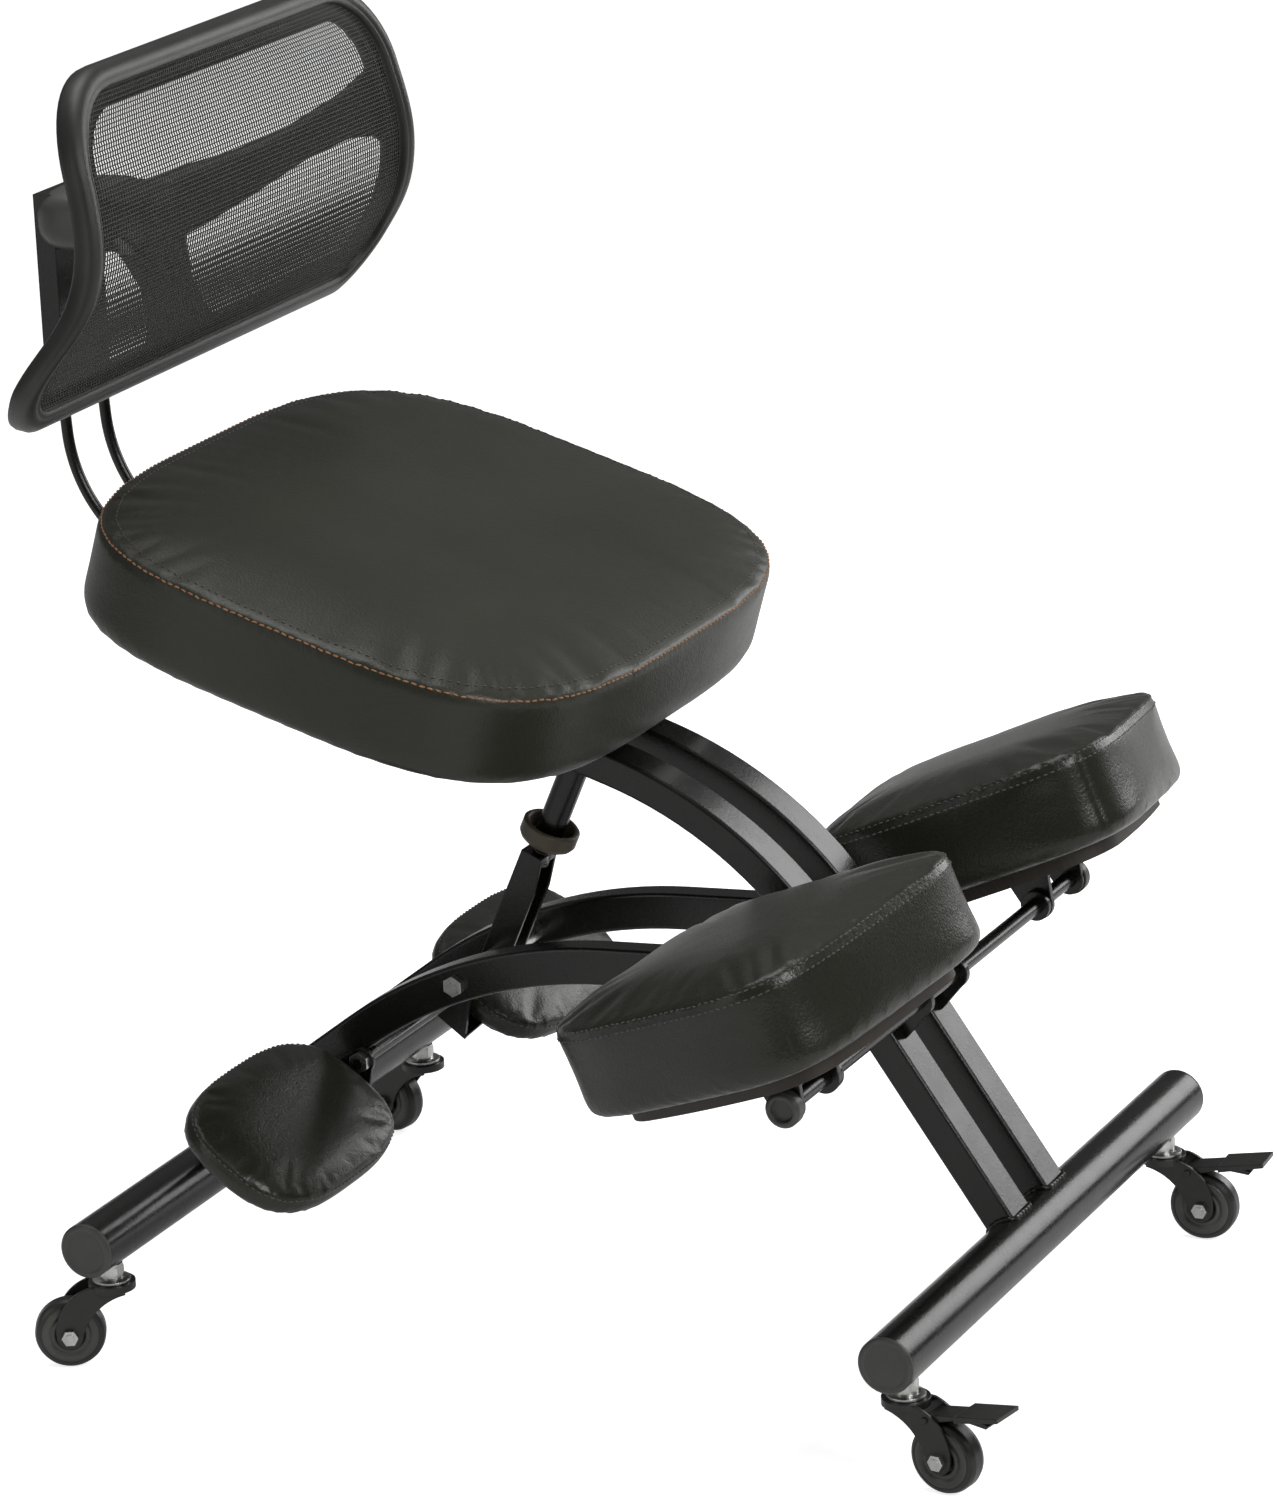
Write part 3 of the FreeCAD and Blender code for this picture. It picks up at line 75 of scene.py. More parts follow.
class Shader:
    """A material with one Principled shader and short calls for the nodes in front of it."""

    def __init__(self, name, roughness=0.5, metallic=0.0, **sockets):
        self.material = bpy.data.materials.new(name)
        self.material.use_nodes = True
        self.tree = self.material.node_tree
        self.surface = self.tree.nodes["Principled BSDF"]
        self.surface.inputs["Roughness"].default_value = roughness
        self.surface.inputs["Metallic"].default_value = metallic
        for socket, value in sockets.items():
            self.surface.inputs[socket.replace("_", " ")].default_value = value
        self.place = self.node("ShaderNodeTexCoord").outputs["Object"]

    def node(self, kind, links=None, **values):
        made = self.tree.nodes.new(kind)
        for key, value in values.items():
            setattr(made, key, value)
        for key, value in (links or {}).items():
            socket = made.inputs[key]
            if isinstance(value, bpy.types.NodeSocket):
                self.tree.links.new(value, socket)
            else:
                socket.default_value = value
        return made

    def noise(self, scale, detail=3.0, roughness=0.5, vector=None):
        made = self.node("ShaderNodeTexNoise", {"Vector": vector or self.place, "Scale": scale,
                                                "Detail": detail, "Roughness": roughness})
        return made.outputs["Fac"]

    def cells(self, scale, feature="F1"):
        made = self.node("ShaderNodeTexVoronoi", {"Vector": self.place, "Scale": scale}, feature=feature)
        return made.outputs["Distance"]

    def wave(self, scale, vector, distortion=0.0, direction="Z"):
        made = self.node("ShaderNodeTexWave", {"Vector": vector, "Scale": scale,
                                               "Distortion": distortion, "Detail": 2.0},
                         wave_type="BANDS", bands_direction=direction)
        return made.outputs["Fac"]

    def math(self, operation, first, second=0.0):
        return self.node("ShaderNodeMath", {0: first, 1: second}, operation=operation).outputs[0]

    def between(self, factor, low, high):
        made = self.node("ShaderNodeMapRange", {"Value": factor, "To Min": low, "To Max": high})
        return made.outputs["Result"]

    def ramp(self, factor, *stops):
        made = self.node("ShaderNodeValToRGB", {"Fac": factor})
        ramp = made.color_ramp
        while len(ramp.elements) < len(stops):
            ramp.elements.new(0.5)
        for element, (place, colour) in zip(ramp.elements, stops):
            element.position = place
            element.color = (*colour, 1.0)
        return made.outputs["Color"]

    def mix(self, factor, first, second):
        """Blend of two colours. A Mix node keeps its colours in inputs 6 and 7 and output 2."""
        made = self.node("ShaderNodeMix", data_type="RGBA")
        for number, value in ((0, factor), (6, first), (7, second)):
            if isinstance(value, bpy.types.NodeSocket):
                self.tree.links.new(value, made.inputs[number])
            else:
                made.inputs[number].default_value = value if isinstance(value, float) else (*value, 1.0)
        return made.outputs[2]

    def colour(self, value):
        self.tree.links.new(value, self.surface.inputs["Base Color"])

    def rough(self, value):
        self.tree.links.new(value, self.surface.inputs["Roughness"])

    def bump(self, height, distance, strength=1.0, under=None):
        links = {"Height": height, "Distance": distance, "Strength": strength}
        if under is not None:
            links["Normal"] = under
        return self.node("ShaderNodeBump", links).outputs["Normal"]

    def normal(self, value):
        self.tree.links.new(value, self.surface.inputs["Normal"])

    def soft_edges(self, radius):
        return self.node("ShaderNodeBevel", {"Radius": radius}, samples=4).outputs["Normal"]

    def worn_edges(self, radius):
        """A mask that is 0 on flat faces and rises towards 1 at edges, and the softened normal."""
        geometry = self.node("ShaderNodeNewGeometry")
        bent = self.soft_edges(radius)
        dot = self.node("ShaderNodeVectorMath", {0: bent, 1: geometry.outputs["Normal"]},
                        operation="DOT_PRODUCT").outputs["Value"]
        mask = self.node("ShaderNodeMapRange", {"Value": dot, "From Min": 0.995, "From Max": 0.86})
        return mask.outputs["Result"], bent


def powder_coat():
    """Satin black powder coat: orange peel, faint dust, paint rubbed thin along edges."""
    shader = Shader("powder_coat", roughness=0.24, Specular_IOR_Level=0.34, Coat_Weight=0.15,
                    Coat_Roughness=0.12)
    worn, bent = shader.worn_edges(0.0016)
    rubbed = shader.math("MULTIPLY", worn, shader.between(shader.noise(90.0), 0.1, 1.0))
    body = shader.ramp(shader.noise(14.0, 4.0), (0.35, (0.0034, 0.0034, 0.0028)),
                       (0.7, (0.0070, 0.0070, 0.0058)))
    shader.colour(shader.mix(shader.math("MULTIPLY", rubbed, 0.6), body, (0.045, 0.045, 0.041)))
    shader.rough(shader.between(shader.noise(60.0, 5.0), 0.20, 0.33))
    peel = shader.bump(shader.noise(520.0, 2.0), 0.0002, 0.5, bent)
    shader.normal(shader.bump(shader.noise(2600.0, 1.0), 0.00004, 0.4, peel))
    return shader.material


PEBBLES = 620.0            # pebbles of the leather's grain per metre


def leather(name, dark, light, gloss):
    """Polyurethane leather: pebble grain, faint stretch creases, colour that drifts."""
    shader = Shader(name, roughness=gloss, Specular_IOR_Level=0.38, Sheen_Weight=0.06, Sheen_Roughness=0.4)
    drift = shader.noise(9.0, 4.0)
    speck = shader.noise(420.0, 2.0)
    body = shader.ramp(drift, (0.3, dark), (0.72, light))
    shader.colour(shader.mix(shader.math("MULTIPLY", speck, 0.22), body, tuple(c * 1.5 for c in light)))
    pebble = shader.cells(PEBBLES, "SMOOTH_F1")
    fine = shader.noise(PEBBLES * 2.4, 3.0)
    grain = shader.math("ADD", shader.math("MULTIPLY", pebble, 0.7), shader.math("MULTIPLY", fine, 0.4))
    shader.rough(shader.between(grain, gloss - 0.05, gloss + 0.13))
    folds = shader.node("ShaderNodeMapping", {"Vector": shader.place, "Scale": (1.0, 0.35, 1.6)})
    crease = shader.bump(shader.noise(26.0, 5.0, 0.6, folds.outputs[0]), 0.0016, 0.28)
    grained = shader.bump(pebble, 0.00028, 0.5, crease)
    shader.normal(shader.bump(fine, 0.00008, 0.4, grained))
    return shader.material


def moulded(name, dark, light, roughness, grain=1500.0, edge=0.0012):
    """Moulded plastic with a spark-eroded grain and a slight cloudiness."""
    shader = Shader(name, roughness=roughness, Specular_IOR_Level=0.45)
    worn, bent = shader.worn_edges(edge)
    body = shader.ramp(shader.noise(22.0, 3.0), (0.3, dark), (0.7, light))
    shader.colour(shader.mix(shader.math("MULTIPLY", worn, 0.35), body, tuple(c * 2.2 for c in light)))
    shader.rough(shader.between(shader.noise(300.0, 4.0), roughness - 0.07, roughness + 0.1))
    coarse = shader.bump(shader.cells(grain), 0.00012, 0.45, bent)
    shader.normal(shader.bump(shader.noise(grain * 0.3, 3.0), 0.0001, 0.3, coarse))
    return shader.material


def zinc():
    """Bright zinc plate on turned steel: fine lathe marks, dull patches."""
    shader = Shader("zinc_plate", roughness=0.26, metallic=1.0)
    shader.colour(shader.ramp(shader.noise(70.0, 4.0), (0.3, (0.42, 0.42, 0.40)), (0.7, (0.66, 0.66, 0.64))))
    shader.rough(shader.between(shader.noise(240.0, 5.0), 0.18, 0.42))
    stretch = shader.node("ShaderNodeMapping", {"Vector": shader.place, "Scale": (30.0, 1.0, 1.0)})
    shader.normal(shader.bump(shader.noise(180.0, 2.0, 0.5, stretch.outputs[0]), 0.00005, 0.5,
                              shader.soft_edges(0.0006)))
    return shader.material


HALF_PITCH = 0.0010        # half of the drawn thread's pitch, in metres


def screw_steel():
    """Oiled screw with a rolled thread, which runs square to the strut. Its grooves are painted darker than
    its crests: painted shade.
    """
    shader = Shader("screw_steel", roughness=0.3, metallic=1.0)
    lean = math.radians(STRUT_LEAN)
    along = shader.node("ShaderNodeVectorMath", {0: shader.place, 1: (0.0, -math.sin(lean), math.cos(lean))},
                        operation="DOT_PRODUCT").outputs["Value"]
    thread = shader.math("PINGPONG", along, HALF_PITCH)
    height = shader.math("MULTIPLY", thread, 900.0)
    # Painted shade: the colour follows the thread's height, dark in the grooves and light on the crests
    shader.colour(shader.ramp(height, (0.1, (0.05, 0.045, 0.04)), (0.8, (0.34, 0.33, 0.31))))
    shader.rough(shader.between(shader.noise(200.0), 0.24, 0.45))
    shader.normal(shader.bump(height, 0.0009, 0.9))
    return shader.material


def plywood(name, tilt):
    """Black-stained birch plywood. Veneers lie square to the board's own normal."""
    shader = Shader(name, roughness=0.6)
    level = shader.node("ShaderNodeMapping", {"Vector": shader.place}, vector_type="TEXTURE")
    level.inputs["Rotation"].default_value = tilt.to_euler()
    layers = shader.wave(210.0, level.outputs[0], 0.4)
    grain = shader.node("ShaderNodeMapping", {"Vector": level.outputs[0], "Scale": (1.0, 14.0, 1.0)})
    fibre = shader.noise(30.0, 6.0, 0.62, grain.outputs[0])
    pale = shader.ramp(fibre, (0.3, (0.022, 0.017, 0.012)), (0.75, (0.040, 0.031, 0.022)))
    shader.colour(shader.mix(shader.math("MULTIPLY", layers, 0.35), pale, (0.012, 0.009, 0.007)))
    shader.rough(shader.between(fibre, 0.5, 0.72))
    shader.normal(shader.bump(fibre, 0.00025, 0.6))
    return shader.material


PLIES = 1250.0 / 3.0       # scale of the yarn's twist in the wave texture


def yarn(name, dark, light):
    """Twisted synthetic yarn. Its plies run aslant to every axis, so they show on any thread."""
    shader = Shader(name, roughness=0.62, Sheen_Weight=0.3, Sheen_Roughness=0.35)
    slant = shader.node("ShaderNodeMapping", {"Vector": shader.place, "Rotation": (0.5, 0.6, 0.4)})
    twist = shader.wave(PLIES, slant.outputs[0], 1.5, "X")
    # Painted shade: the twist that bumps the plies also darkens the colour in the grooves between them
    shader.colour(shader.mix(twist, dark, light))
    shader.rough(shader.between(shader.noise(700.0), 0.52, 0.77))
    shader.normal(shader.bump(twist, 0.0002, 0.6))
    return shader.material


steel_mat = powder_coat()
seat_leather = leather("seat_leather", (0.0150, 0.0150, 0.0095), (0.0260, 0.0258, 0.0175), gloss=0.35)
pad_leather = leather("pad_leather", (0.0105, 0.0105, 0.0068), (0.0190, 0.0188, 0.0128), gloss=0.27)
back_mat = moulded("back_plastic_grain", (0.018, 0.019, 0.017), (0.029, 0.030, 0.027), 0.38, edge=0.0045)
hub_mat = moulded("hub_plastic_grain", (0.050, 0.051, 0.046), (0.080, 0.081, 0.074), 0.32)
cap_mat = moulded("cap_plastic_grain", (0.040, 0.041, 0.037), (0.062, 0.063, 0.057), 0.36, edge=0.0020)
wheel_mat = moulded("wheel_nylon", (0.011, 0.011, 0.010), (0.022, 0.022, 0.020), 0.30, 1100.0)
trim_mat = moulded("wheel_hub_grain", (0.045, 0.045, 0.040), (0.075, 0.075, 0.067), 0.30, 1100.0)
ring_mat = moulded("ring_phenolic", (0.060, 0.048, 0.030), (0.092, 0.074, 0.048), 0.42, 900.0)
zinc_mat = zinc()
screw_mat = screw_steel()
net_mat = yarn("net_yarn", (0.016, 0.017, 0.015), (0.050, 0.051, 0.046))
amber_thread = yarn("amber_thread", (0.20, 0.085, 0.030), (0.46, 0.22, 0.085))
dark_thread = yarn("dark_thread", (0.030, 0.030, 0.026), (0.085, 0.084, 0.074))

seat_turn = turned(x=SEAT_RISE)
knee_turn = turned(x=-21.7, y=-6.4, z=-11.5)
foot_turn = turned(x=36.4)
MIRROR = Matrix.Diagonal((-1.0, 1.0, 1.0, 1.0))


def mirrored(matrix):
    return MIRROR @ matrix @ MIRROR


boards = {
    "seat_board": seat_turn,
    "knee_board_right": knee_turn,
    "knee_board_left": mirrored(knee_turn),
    "foot_board_right": foot_turn,
    "foot_board_left": foot_turn,
}
zinc_nodes = ("seat_screws", "frame_hinge_bolt", "main_rail_spacers", "strut_top_bolt", "strut_foot_bolt",
              "strut_foot_spacers", "foot_rod_nuts", "front_caster_stems", "rear_caster_stems", "caster_axle")
finishes = (
    (zinc_nodes, zinc_mat),
    (("strut_screw",), screw_mat),
    (("strut_ring_nut",), ring_mat),
    (("caster_wheel", "caster_fork", "brake_pedal"), wheel_mat),
    (("front_bar_caps", "rear_bar_caps", "knee_rod_end_caps"), cap_mat),
    (("back_frame", "hub_cover"), back_mat),
)


def finish_of(name):
    """Material of a node, found by its name. What isn't listed is painted steel."""
    if name in boards:
        return plywood(f"ply_{name}", boards[name])
    for heads, material in finishes:
        if name.startswith(heads):
            return material
    return steel_mat


for name, obj in nodes.items():
    obj.data.materials.clear()
    obj.data.materials.append(finish_of(name))


# Meshes


def finished(name, build, material, outward=True, smooth=True):
    """Object of that name from a bmesh, which is used up. Outward turns all faces to the outside."""
    if outward:
        bmesh.ops.recalc_face_normals(build, faces=build.faces)
    mesh = bpy.data.meshes.new(name)
    build.to_mesh(mesh)
    build.free()
    obj = bpy.data.objects.new(name, mesh)
    scene.collection.objects.link(obj)
    mesh.materials.append(material)
    for polygon in mesh.polygons:
        polygon.use_smooth = smooth
    return obj


def skin(build, rows):
    """Quads between neighbours among closed rows of vertices."""
    count = len(rows[0])
    for low, high in zip(rows, rows[1:]):
        for k in range(count):
            build.faces.new((low[k], low[(k + 1) % count], high[(k + 1) % count], high[k]))


def tube(build, rows):
    """Skin through the rows, with both ends closed."""
    skin(build, rows)
    build.faces.new(rows[0][::-1])
    build.faces.new(rows[-1])


def circle(build, middle, across, upward, radius, count):
    """Row of vertices round a middle, in the plane of two unit vectors."""
    turns = [math.tau * k / count for k in range(count)]
    return [build.verts.new(middle + (across * math.cos(turn) + upward * math.sin(turn)) * radius)
            for turn in turns]


def stacked(name, rings, material, matrix):
    """Closed skin through rings of points, in millimetres, of one count each."""
    build = bmesh.new()
    tube(build, [[build.verts.new(matrix @ (Vector(point) * MM)) for point in ring] for ring in rings])
    return finished(name, build, material)


def evaluated_mesh(obj):
    graph = bpy.context.evaluated_depsgraph_get()
    return bpy.data.meshes.new_from_object(obj.evaluated_get(graph))


def take_mesh(obj, mesh):
    """Gives obj the mesh in place of its modifiers."""
    obj.modifiers.clear()
    old = obj.data
    obj.data = mesh
    bpy.data.meshes.remove(old)


def subdivided(obj):
    fine = obj.modifiers.new("fine", "SUBSURF")
    fine.levels = fine.render_levels = 1
    take_mesh(obj, evaluated_mesh(obj))


# Cushions


FINE_STEPS = 1440          # points of an outline before it is divided evenly
# Rings of a cushion's top, as (inset, height), shares of the smaller half width and of the crown
CROWN = ((0.14, 0.28), (0.24, 0.5), (0.42, 0.75), (0.64, 0.93), (0.9, 1.0))


def rounded(half_x, half_y, power, count, taper=0.0):
    """Evenly spaced points of a rounded rectangle, in millimetres, wider in front by the taper."""
    dense = []
    for step in range(FINE_STEPS):
        turn = math.tau * step / FINE_STEPS
        x = half_x * math.copysign(abs(math.cos(turn)) ** (2 / power), math.cos(turn))
        y = half_y * math.copysign(abs(math.sin(turn)) ** (2 / power), math.sin(turn))
        dense.append(Vector((x * (1 - taper * y / half_y), y)))
    lengths = [0.0]
    for first, second in zip(dense, dense[1:] + dense[:1]):
        lengths.append(lengths[-1] + (second - first).length)
    points, step = [], 0
    for number in range(count):
        goal = lengths[-1] * number / count
        while lengths[step + 1] < goal:
            step += 1
        share = (goal - lengths[step]) / (lengths[step + 1] - lengths[step])
        points.append(dense[step].lerp(dense[(step + 1) % FINE_STEPS], share))
    return points


class Pad:
    """Sizes of one cushion in its own frame: z up from the board, in millimetres.

    The rim is where the side ends and the top begins, and the seam lies lower by the drop. The crown
    rises from the rim, edge rounds the rim, tuck draws in the underside and waist the side.
    """

    def __init__(self, matrix, half_x, half_y, power, rim, crown, tuck, waist, edge, drop, taper=0.0):
        self.matrix = matrix
        self.half = (half_x, half_y)
        self.power = power
        self.rim = rim
        self.crown = crown
        self.tuck = tuck
        self.waist = waist
        self.edge = edge
        self.taper = taper
        self.seam = rim - drop

    def ring(self, inset, z, count=160):
        return [(p.x, p.y, z) for p in rounded(self.half[0] - inset, self.half[1] - inset, self.power,
                                               count, self.taper)]

    def rings(self):
        """Rings from the middle of the underside, up the side, to the middle of the top."""
        edge, rim, tuck = self.edge, self.rim, self.tuck
        reach = min(self.half)
        foot = edge * 1.5
        under = [self.ring(share * reach, 0) for share in (0.9, 0.5)]
        under += [self.ring(inset, z) for inset, z in ((tuck + 4, 0), (tuck * 0.5, edge * 0.25),
                                                       (tuck * 0.12, edge * 0.8), (0.6, foot))]
        side = [self.ring(self.waist * math.sin(math.pi * share), foot + (self.seam - foot) * share)
                for share in (0.33, 0.66)]
        shoulder = [self.ring(inset, z) for inset, z in ((0.8, self.seam), (edge * 0.24, rim - edge * 0.5),
                                                         (edge * 0.62, rim - edge * 0.14), (edge * 1.3, rim))]
        top = [self.ring(reach * share, rim + self.crown * rise) for share, rise in CROWN]
        return under + side + shoulder + top


GLUED = 2.5                # height up to which a cover is held by its board
FREE_INSET = 14.0          # this far in from both pairs of sides, a cover is free above its seam
PRESSURE = 4.0
CLOTH_FRAMES = 20


def stuffed(obj, pad, voxel, most):
    """Swells the cover between its pinned seams by cloth simulation, by no more than most."""
    remesh = obj.modifiers.new("remesh", "REMESH")
    remesh.mode = "VOXEL"
    remesh.voxel_size = voxel * MM
    take_mesh(obj, evaluated_mesh(obj))
    into = pad.matrix.inverted()
    start = [vertex.co.copy() for vertex in obj.data.vertices]
    local = [(into @ co) / MM for co in start]
    pins = obj.vertex_groups.new(name="pins")
    for index, co in enumerate(local):
        hold = 1.0 if co.z < GLUED else max(0.0, 1.0 - abs(co.z - pad.seam) / (voxel * 0.9))
        inside = abs(co.x) < pad.half[0] - FREE_INSET and abs(co.y) < pad.half[1] - FREE_INSET
        if hold > 0 and not (inside and co.z > pad.seam + 1):
            pins.add([index], hold, "REPLACE")
    cloth = obj.modifiers.new("cover", "CLOTH")
    settings = cloth.settings
    settings.quality = 5
    settings.mass = 0.3
    settings.tension_stiffness = 18
    settings.compression_stiffness = 12
    settings.bending_stiffness = 1.5
    settings.vertex_group_mass = "pins"
    settings.use_pressure = True
    settings.uniform_pressure_force = PRESSURE
    settings.effector_weights.gravity = 0.0
    cloth.collision_settings.use_collision = False
    cloth.point_cache.frame_start = 1
    cloth.point_cache.frame_end = CLOTH_FRAMES
    for number in range(1, CLOTH_FRAMES + 1):
        scene.frame_set(number)
    swollen = evaluated_mesh(obj)
    moves = [vertex.co - co for vertex, co in zip(swollen.vertices, start)]
    take_mesh(obj, swollen)
    scene.frame_set(1)
    for vertex, co, move in zip(obj.data.vertices, start, moves):
        length = move.length
        if length > 0:
            vertex.co = co + move * (most * MM * math.tanh(length / (most * MM)) / length)
    subdivided(obj)
    for polygon in obj.data.polygons:
        polygon.use_smooth = True


def grooves(obj, pad, lines, depth, width):
    """Presses the seams into the cover. Each line is a list of points in the pad's frame."""
    points = [pad.matrix @ (Vector(point) * MM) for line in lines for point in line]
    tree = KDTree(len(points))
    for index, point in enumerate(points):
        tree.insert(point, index)
    tree.balance()
    normals = [vertex.normal.copy() for vertex in obj.data.vertices]
    for vertex, normal in zip(obj.data.vertices, normals):
        away = tree.find(vertex.co)[2] / MM
        if away < width * 3:
            vertex.co = vertex.co - normal * depth * MM * math.exp(-(away / width) ** 2)
    obj.data.update()


def on_cover(obj, pad, points):
    """The points moved onto the cover, each with the cover's normal there."""
    graph = bpy.context.evaluated_depsgraph_get()
    tree = BVHTree.FromObject(obj, graph)
    found = []
    for point in points:
        place, normal, _, _ = tree.find_nearest(pad.matrix @ (Vector(point) * MM))
        found.append((place, normal))
    return found


def spaced(found, step):
    """Places along the closed line of found points every step of length, with normal and heading."""
    found = found + found[:1]
    lengths = [0.0]
    for (first, _), (second, _) in zip(found, found[1:]):
        lengths.append(lengths[-1] + (second - first).length)
    count = int(lengths[-1] / step)
    places, index = [], 0
    for number in range(count):
        goal = lengths[-1] * (number + 0.5) / count
        while lengths[index + 1] < goal:
            index += 1
        share = (goal - lengths[index]) / max(lengths[index + 1] - lengths[index], 1e-9)
        (a, na), (b, nb) = found[index], found[index + 1]
        places.append((a.lerp(b, share), na.lerp(nb, share).normalized(), (b - a).normalized()))
    return places


# Rings of one stitch: share of its length from the middle, thickness and height as shares of its radius
STITCH = ((-0.5, 0.45, -0.35), (-0.28, 0.95, 0.35), (0.0, 1.05, 0.5), (0.28, 0.95, 0.35), (0.5, 0.45, -0.35))


def stitches(name, obj, pad, lines, material, length, gap, radius):
    """Rows of single stitches that lie on the cover, each a little askew and of its own thickness."""
    chance = random.Random(len(name))
    build = bmesh.new()
    for line in lines:
        for place, normal, heading in spaced(on_cover(obj, pad, line), (length + gap) * MM):
            side = heading.cross(normal).normalized()
            heading = (heading + side * chance.uniform(-0.06, 0.06)).normalized()
            size = radius * chance.uniform(0.92, 1.08)
            rows = []
            for share, fat, rise in STITCH:
                middle = place + heading * length * share * MM + normal * radius * rise * MM
                rows.append(circle(build, middle, side, normal, size * fat * MM, 6))
            tube(build, rows)
    return finished(name, build, material)


def board_top(place, turn, thickness):
    """Frame of a cushion: the middle of its board's top, from the middle of the board's underside."""
    return Matrix.Translation(at(*place)) @ turn @ Matrix.Translation((0, 0, thickness * MM))


def seat():
    pad = Pad(board_top((0, 444.28, 453.33), seat_turn, 16), half_x=237.0, half_y=190.5, power=3.6,
              rim=70.0, crown=5.0, tuck=10.0, waist=1.0, edge=9.0, drop=7.0)
    cover = stacked("seat_cover", pad.rings(), seat_leather, pad.matrix)
    stuffed(cover, pad, voxel=5.0, most=4.5)
    grooves(cover, pad, [pad.ring(0.0, pad.seam, 400)], depth=1.1, width=2.2)
    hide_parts("seat_cushion")
    amber = stitches("seat_seam_stitches", cover, pad, [pad.ring(0.0, pad.seam + 2.6, 400)], amber_thread,
                     length=4.2, gap=1.3, radius=0.6)
    dark = stitches("seat_edge_stitches", cover, pad, [pad.ring(9.0, pad.rim + 6.0, 400)], dark_thread,
                    length=3.2, gap=2.4, radius=0.5)
    for piece in (cover, amber, dark):
        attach(piece, "front_frame")


def knee(side, placed):
    """Knee cushion, with a seam up each corner. Placed turns the right side's matrix into this side's."""
    pad = Pad(placed(board_top((-196.0, 87.358, 271.196), knee_turn, 10)), half_x=116.5, half_y=113.5,
              power=4.3, rim=68.0, crown=5.0, tuck=7.0, waist=1.5, edge=8.0, drop=8.0, taper=0.09)
    cover = stacked(f"knee_cover_{side}", pad.rings(), pad_leather, pad.matrix)
    stuffed(cover, pad, voxel=4.0, most=4.0)
    corners = []
    for along_x, along_y in ((-1, 1), (1, 1), (-1, -1), (1, -1)):
        corner = max(pad.ring(0.0, 0.0, 300), key=lambda point: along_x * point[0] + along_y * point[1])
        corners.append([(corner[0], corner[1], pad.seam * k / 24) for k in range(3, 25)])
    grooves(cover, pad, [pad.ring(0.0, pad.seam, 300)] + corners, depth=1.0, width=2.0)
    rows = [pad.ring(0.0, pad.seam - 3.2, 300), pad.ring(0.6, pad.seam + 3.0, 300)]
    thread = stitches(f"knee_seam_stitches_{side}", cover, pad, rows, dark_thread,
                      length=3.4, gap=1.6, radius=0.5)
    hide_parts(f"knee_cushion_{side}")
    for piece in (cover, thread):
        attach(piece, f"knee_pad_{side}")


def foot(side, placed):
    pad = Pad(placed(board_top((-178.0, 473.602, 153.95), foot_turn, 6)), half_x=93.5, half_y=56.5,
              power=3.0, rim=18.0, crown=2.5, tuck=3.0, waist=0.3, edge=5.0, drop=6.0)
    cover = stacked(f"foot_cover_{side}", pad.rings(), pad_leather, pad.matrix)
    stuffed(cover, pad, voxel=3.5, most=2.5)
    grooves(cover, pad, [pad.ring(0.0, pad.seam, 240)], depth=0.7, width=1.6)
    thread = stitches(f"foot_seam_stitches_{side}", cover, pad, [pad.ring(0.3, pad.seam + 2.4, 240)],
                      dark_thread, length=3.2, gap=1.6, radius=0.45)
    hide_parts(f"foot_cushion_{side}")
    for piece in (cover, thread):
        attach(piece, f"foot_pad_{side}")


seat()
for side, placed in (("right", Matrix), ("left", mirrored)):
    knee(side, placed)
    foot(side, placed)


# Backrest


def spline(points):
    """Natural cubic spline through the points, as a function of the arc length between them."""
    knots = [0.0]
    for first, second in zip(points, points[1:]):
        knots.append(knots[-1] + (second - first).length)
    bends = []
    for axis in (0, 1):
        values = [point[axis] for point in points]
        count = len(values)
        upper, right = [0.0] * count, [0.0] * count
        for k in range(1, count - 1):
            before, after = knots[k] - knots[k - 1], knots[k + 1] - knots[k]
            pull = 6 * ((values[k + 1] - values[k]) / after - (values[k] - values[k - 1]) / before)
            under = 2 * (before + after) - before * upper[k - 1]
            upper[k] = after / under
            right[k] = (pull - before * right[k - 1]) / under
        bend = [0.0] * count
        for k in range(count - 2, 0, -1):
            bend[k] = right[k] - upper[k] * bend[k + 1]
        bends.append(bend)

    def place(along):
        along = min(max(along, 0.0), knots[-1])
        k = max(i for i in range(len(knots) - 1) if knots[i] <= along)
        step = knots[k + 1] - knots[k]
        b = (along - knots[k]) / step
        a = 1 - b
        return Vector([a * points[k][axis] + b * points[k + 1][axis]
                       + ((a ** 3 - a) * bends[axis][k] + (b ** 3 - b) * bends[axis][k + 1]) * step * step / 6
                       for axis in (0, 1)])
    return place, knots[-1]


# Side view of the net in the CAD, as (depth behind the front cross tube, height), low to high
back_points = [Vector(point) for point in ((612, 639), (582, 686), (556, 726), (548.5, 763), (553.5, 800),
                                           (564, 838), (578, 875))]
back_place, back_length = spline(back_points)
BACK_STEPS = 2000
back_table = [back_place(back_length * step / BACK_STEPS) for step in range(BACK_STEPS + 1)]


def back_y(z):
    """The net's front at a height, measured from the front cross tube."""
    low, high = 0, BACK_STEPS
    while high - low > 1:
        middle = (low + high) // 2
        if back_table[middle].y < z:
            low = middle
        else:
            high = middle
    first, second = back_table[low], back_table[high]
    return first.x + (second.x - first.x) * (z - first.y) / (second.y - first.y)


BACK_LOW = 640
BACK_HIGH = 874
LOW_HALF = 233
TOP_HALF = 217
BULGE = 11.0               # how much further out each side bends near BULGE_HEIGHT
BULGE_HEIGHT = 688
BULGE_SPREAD = 34


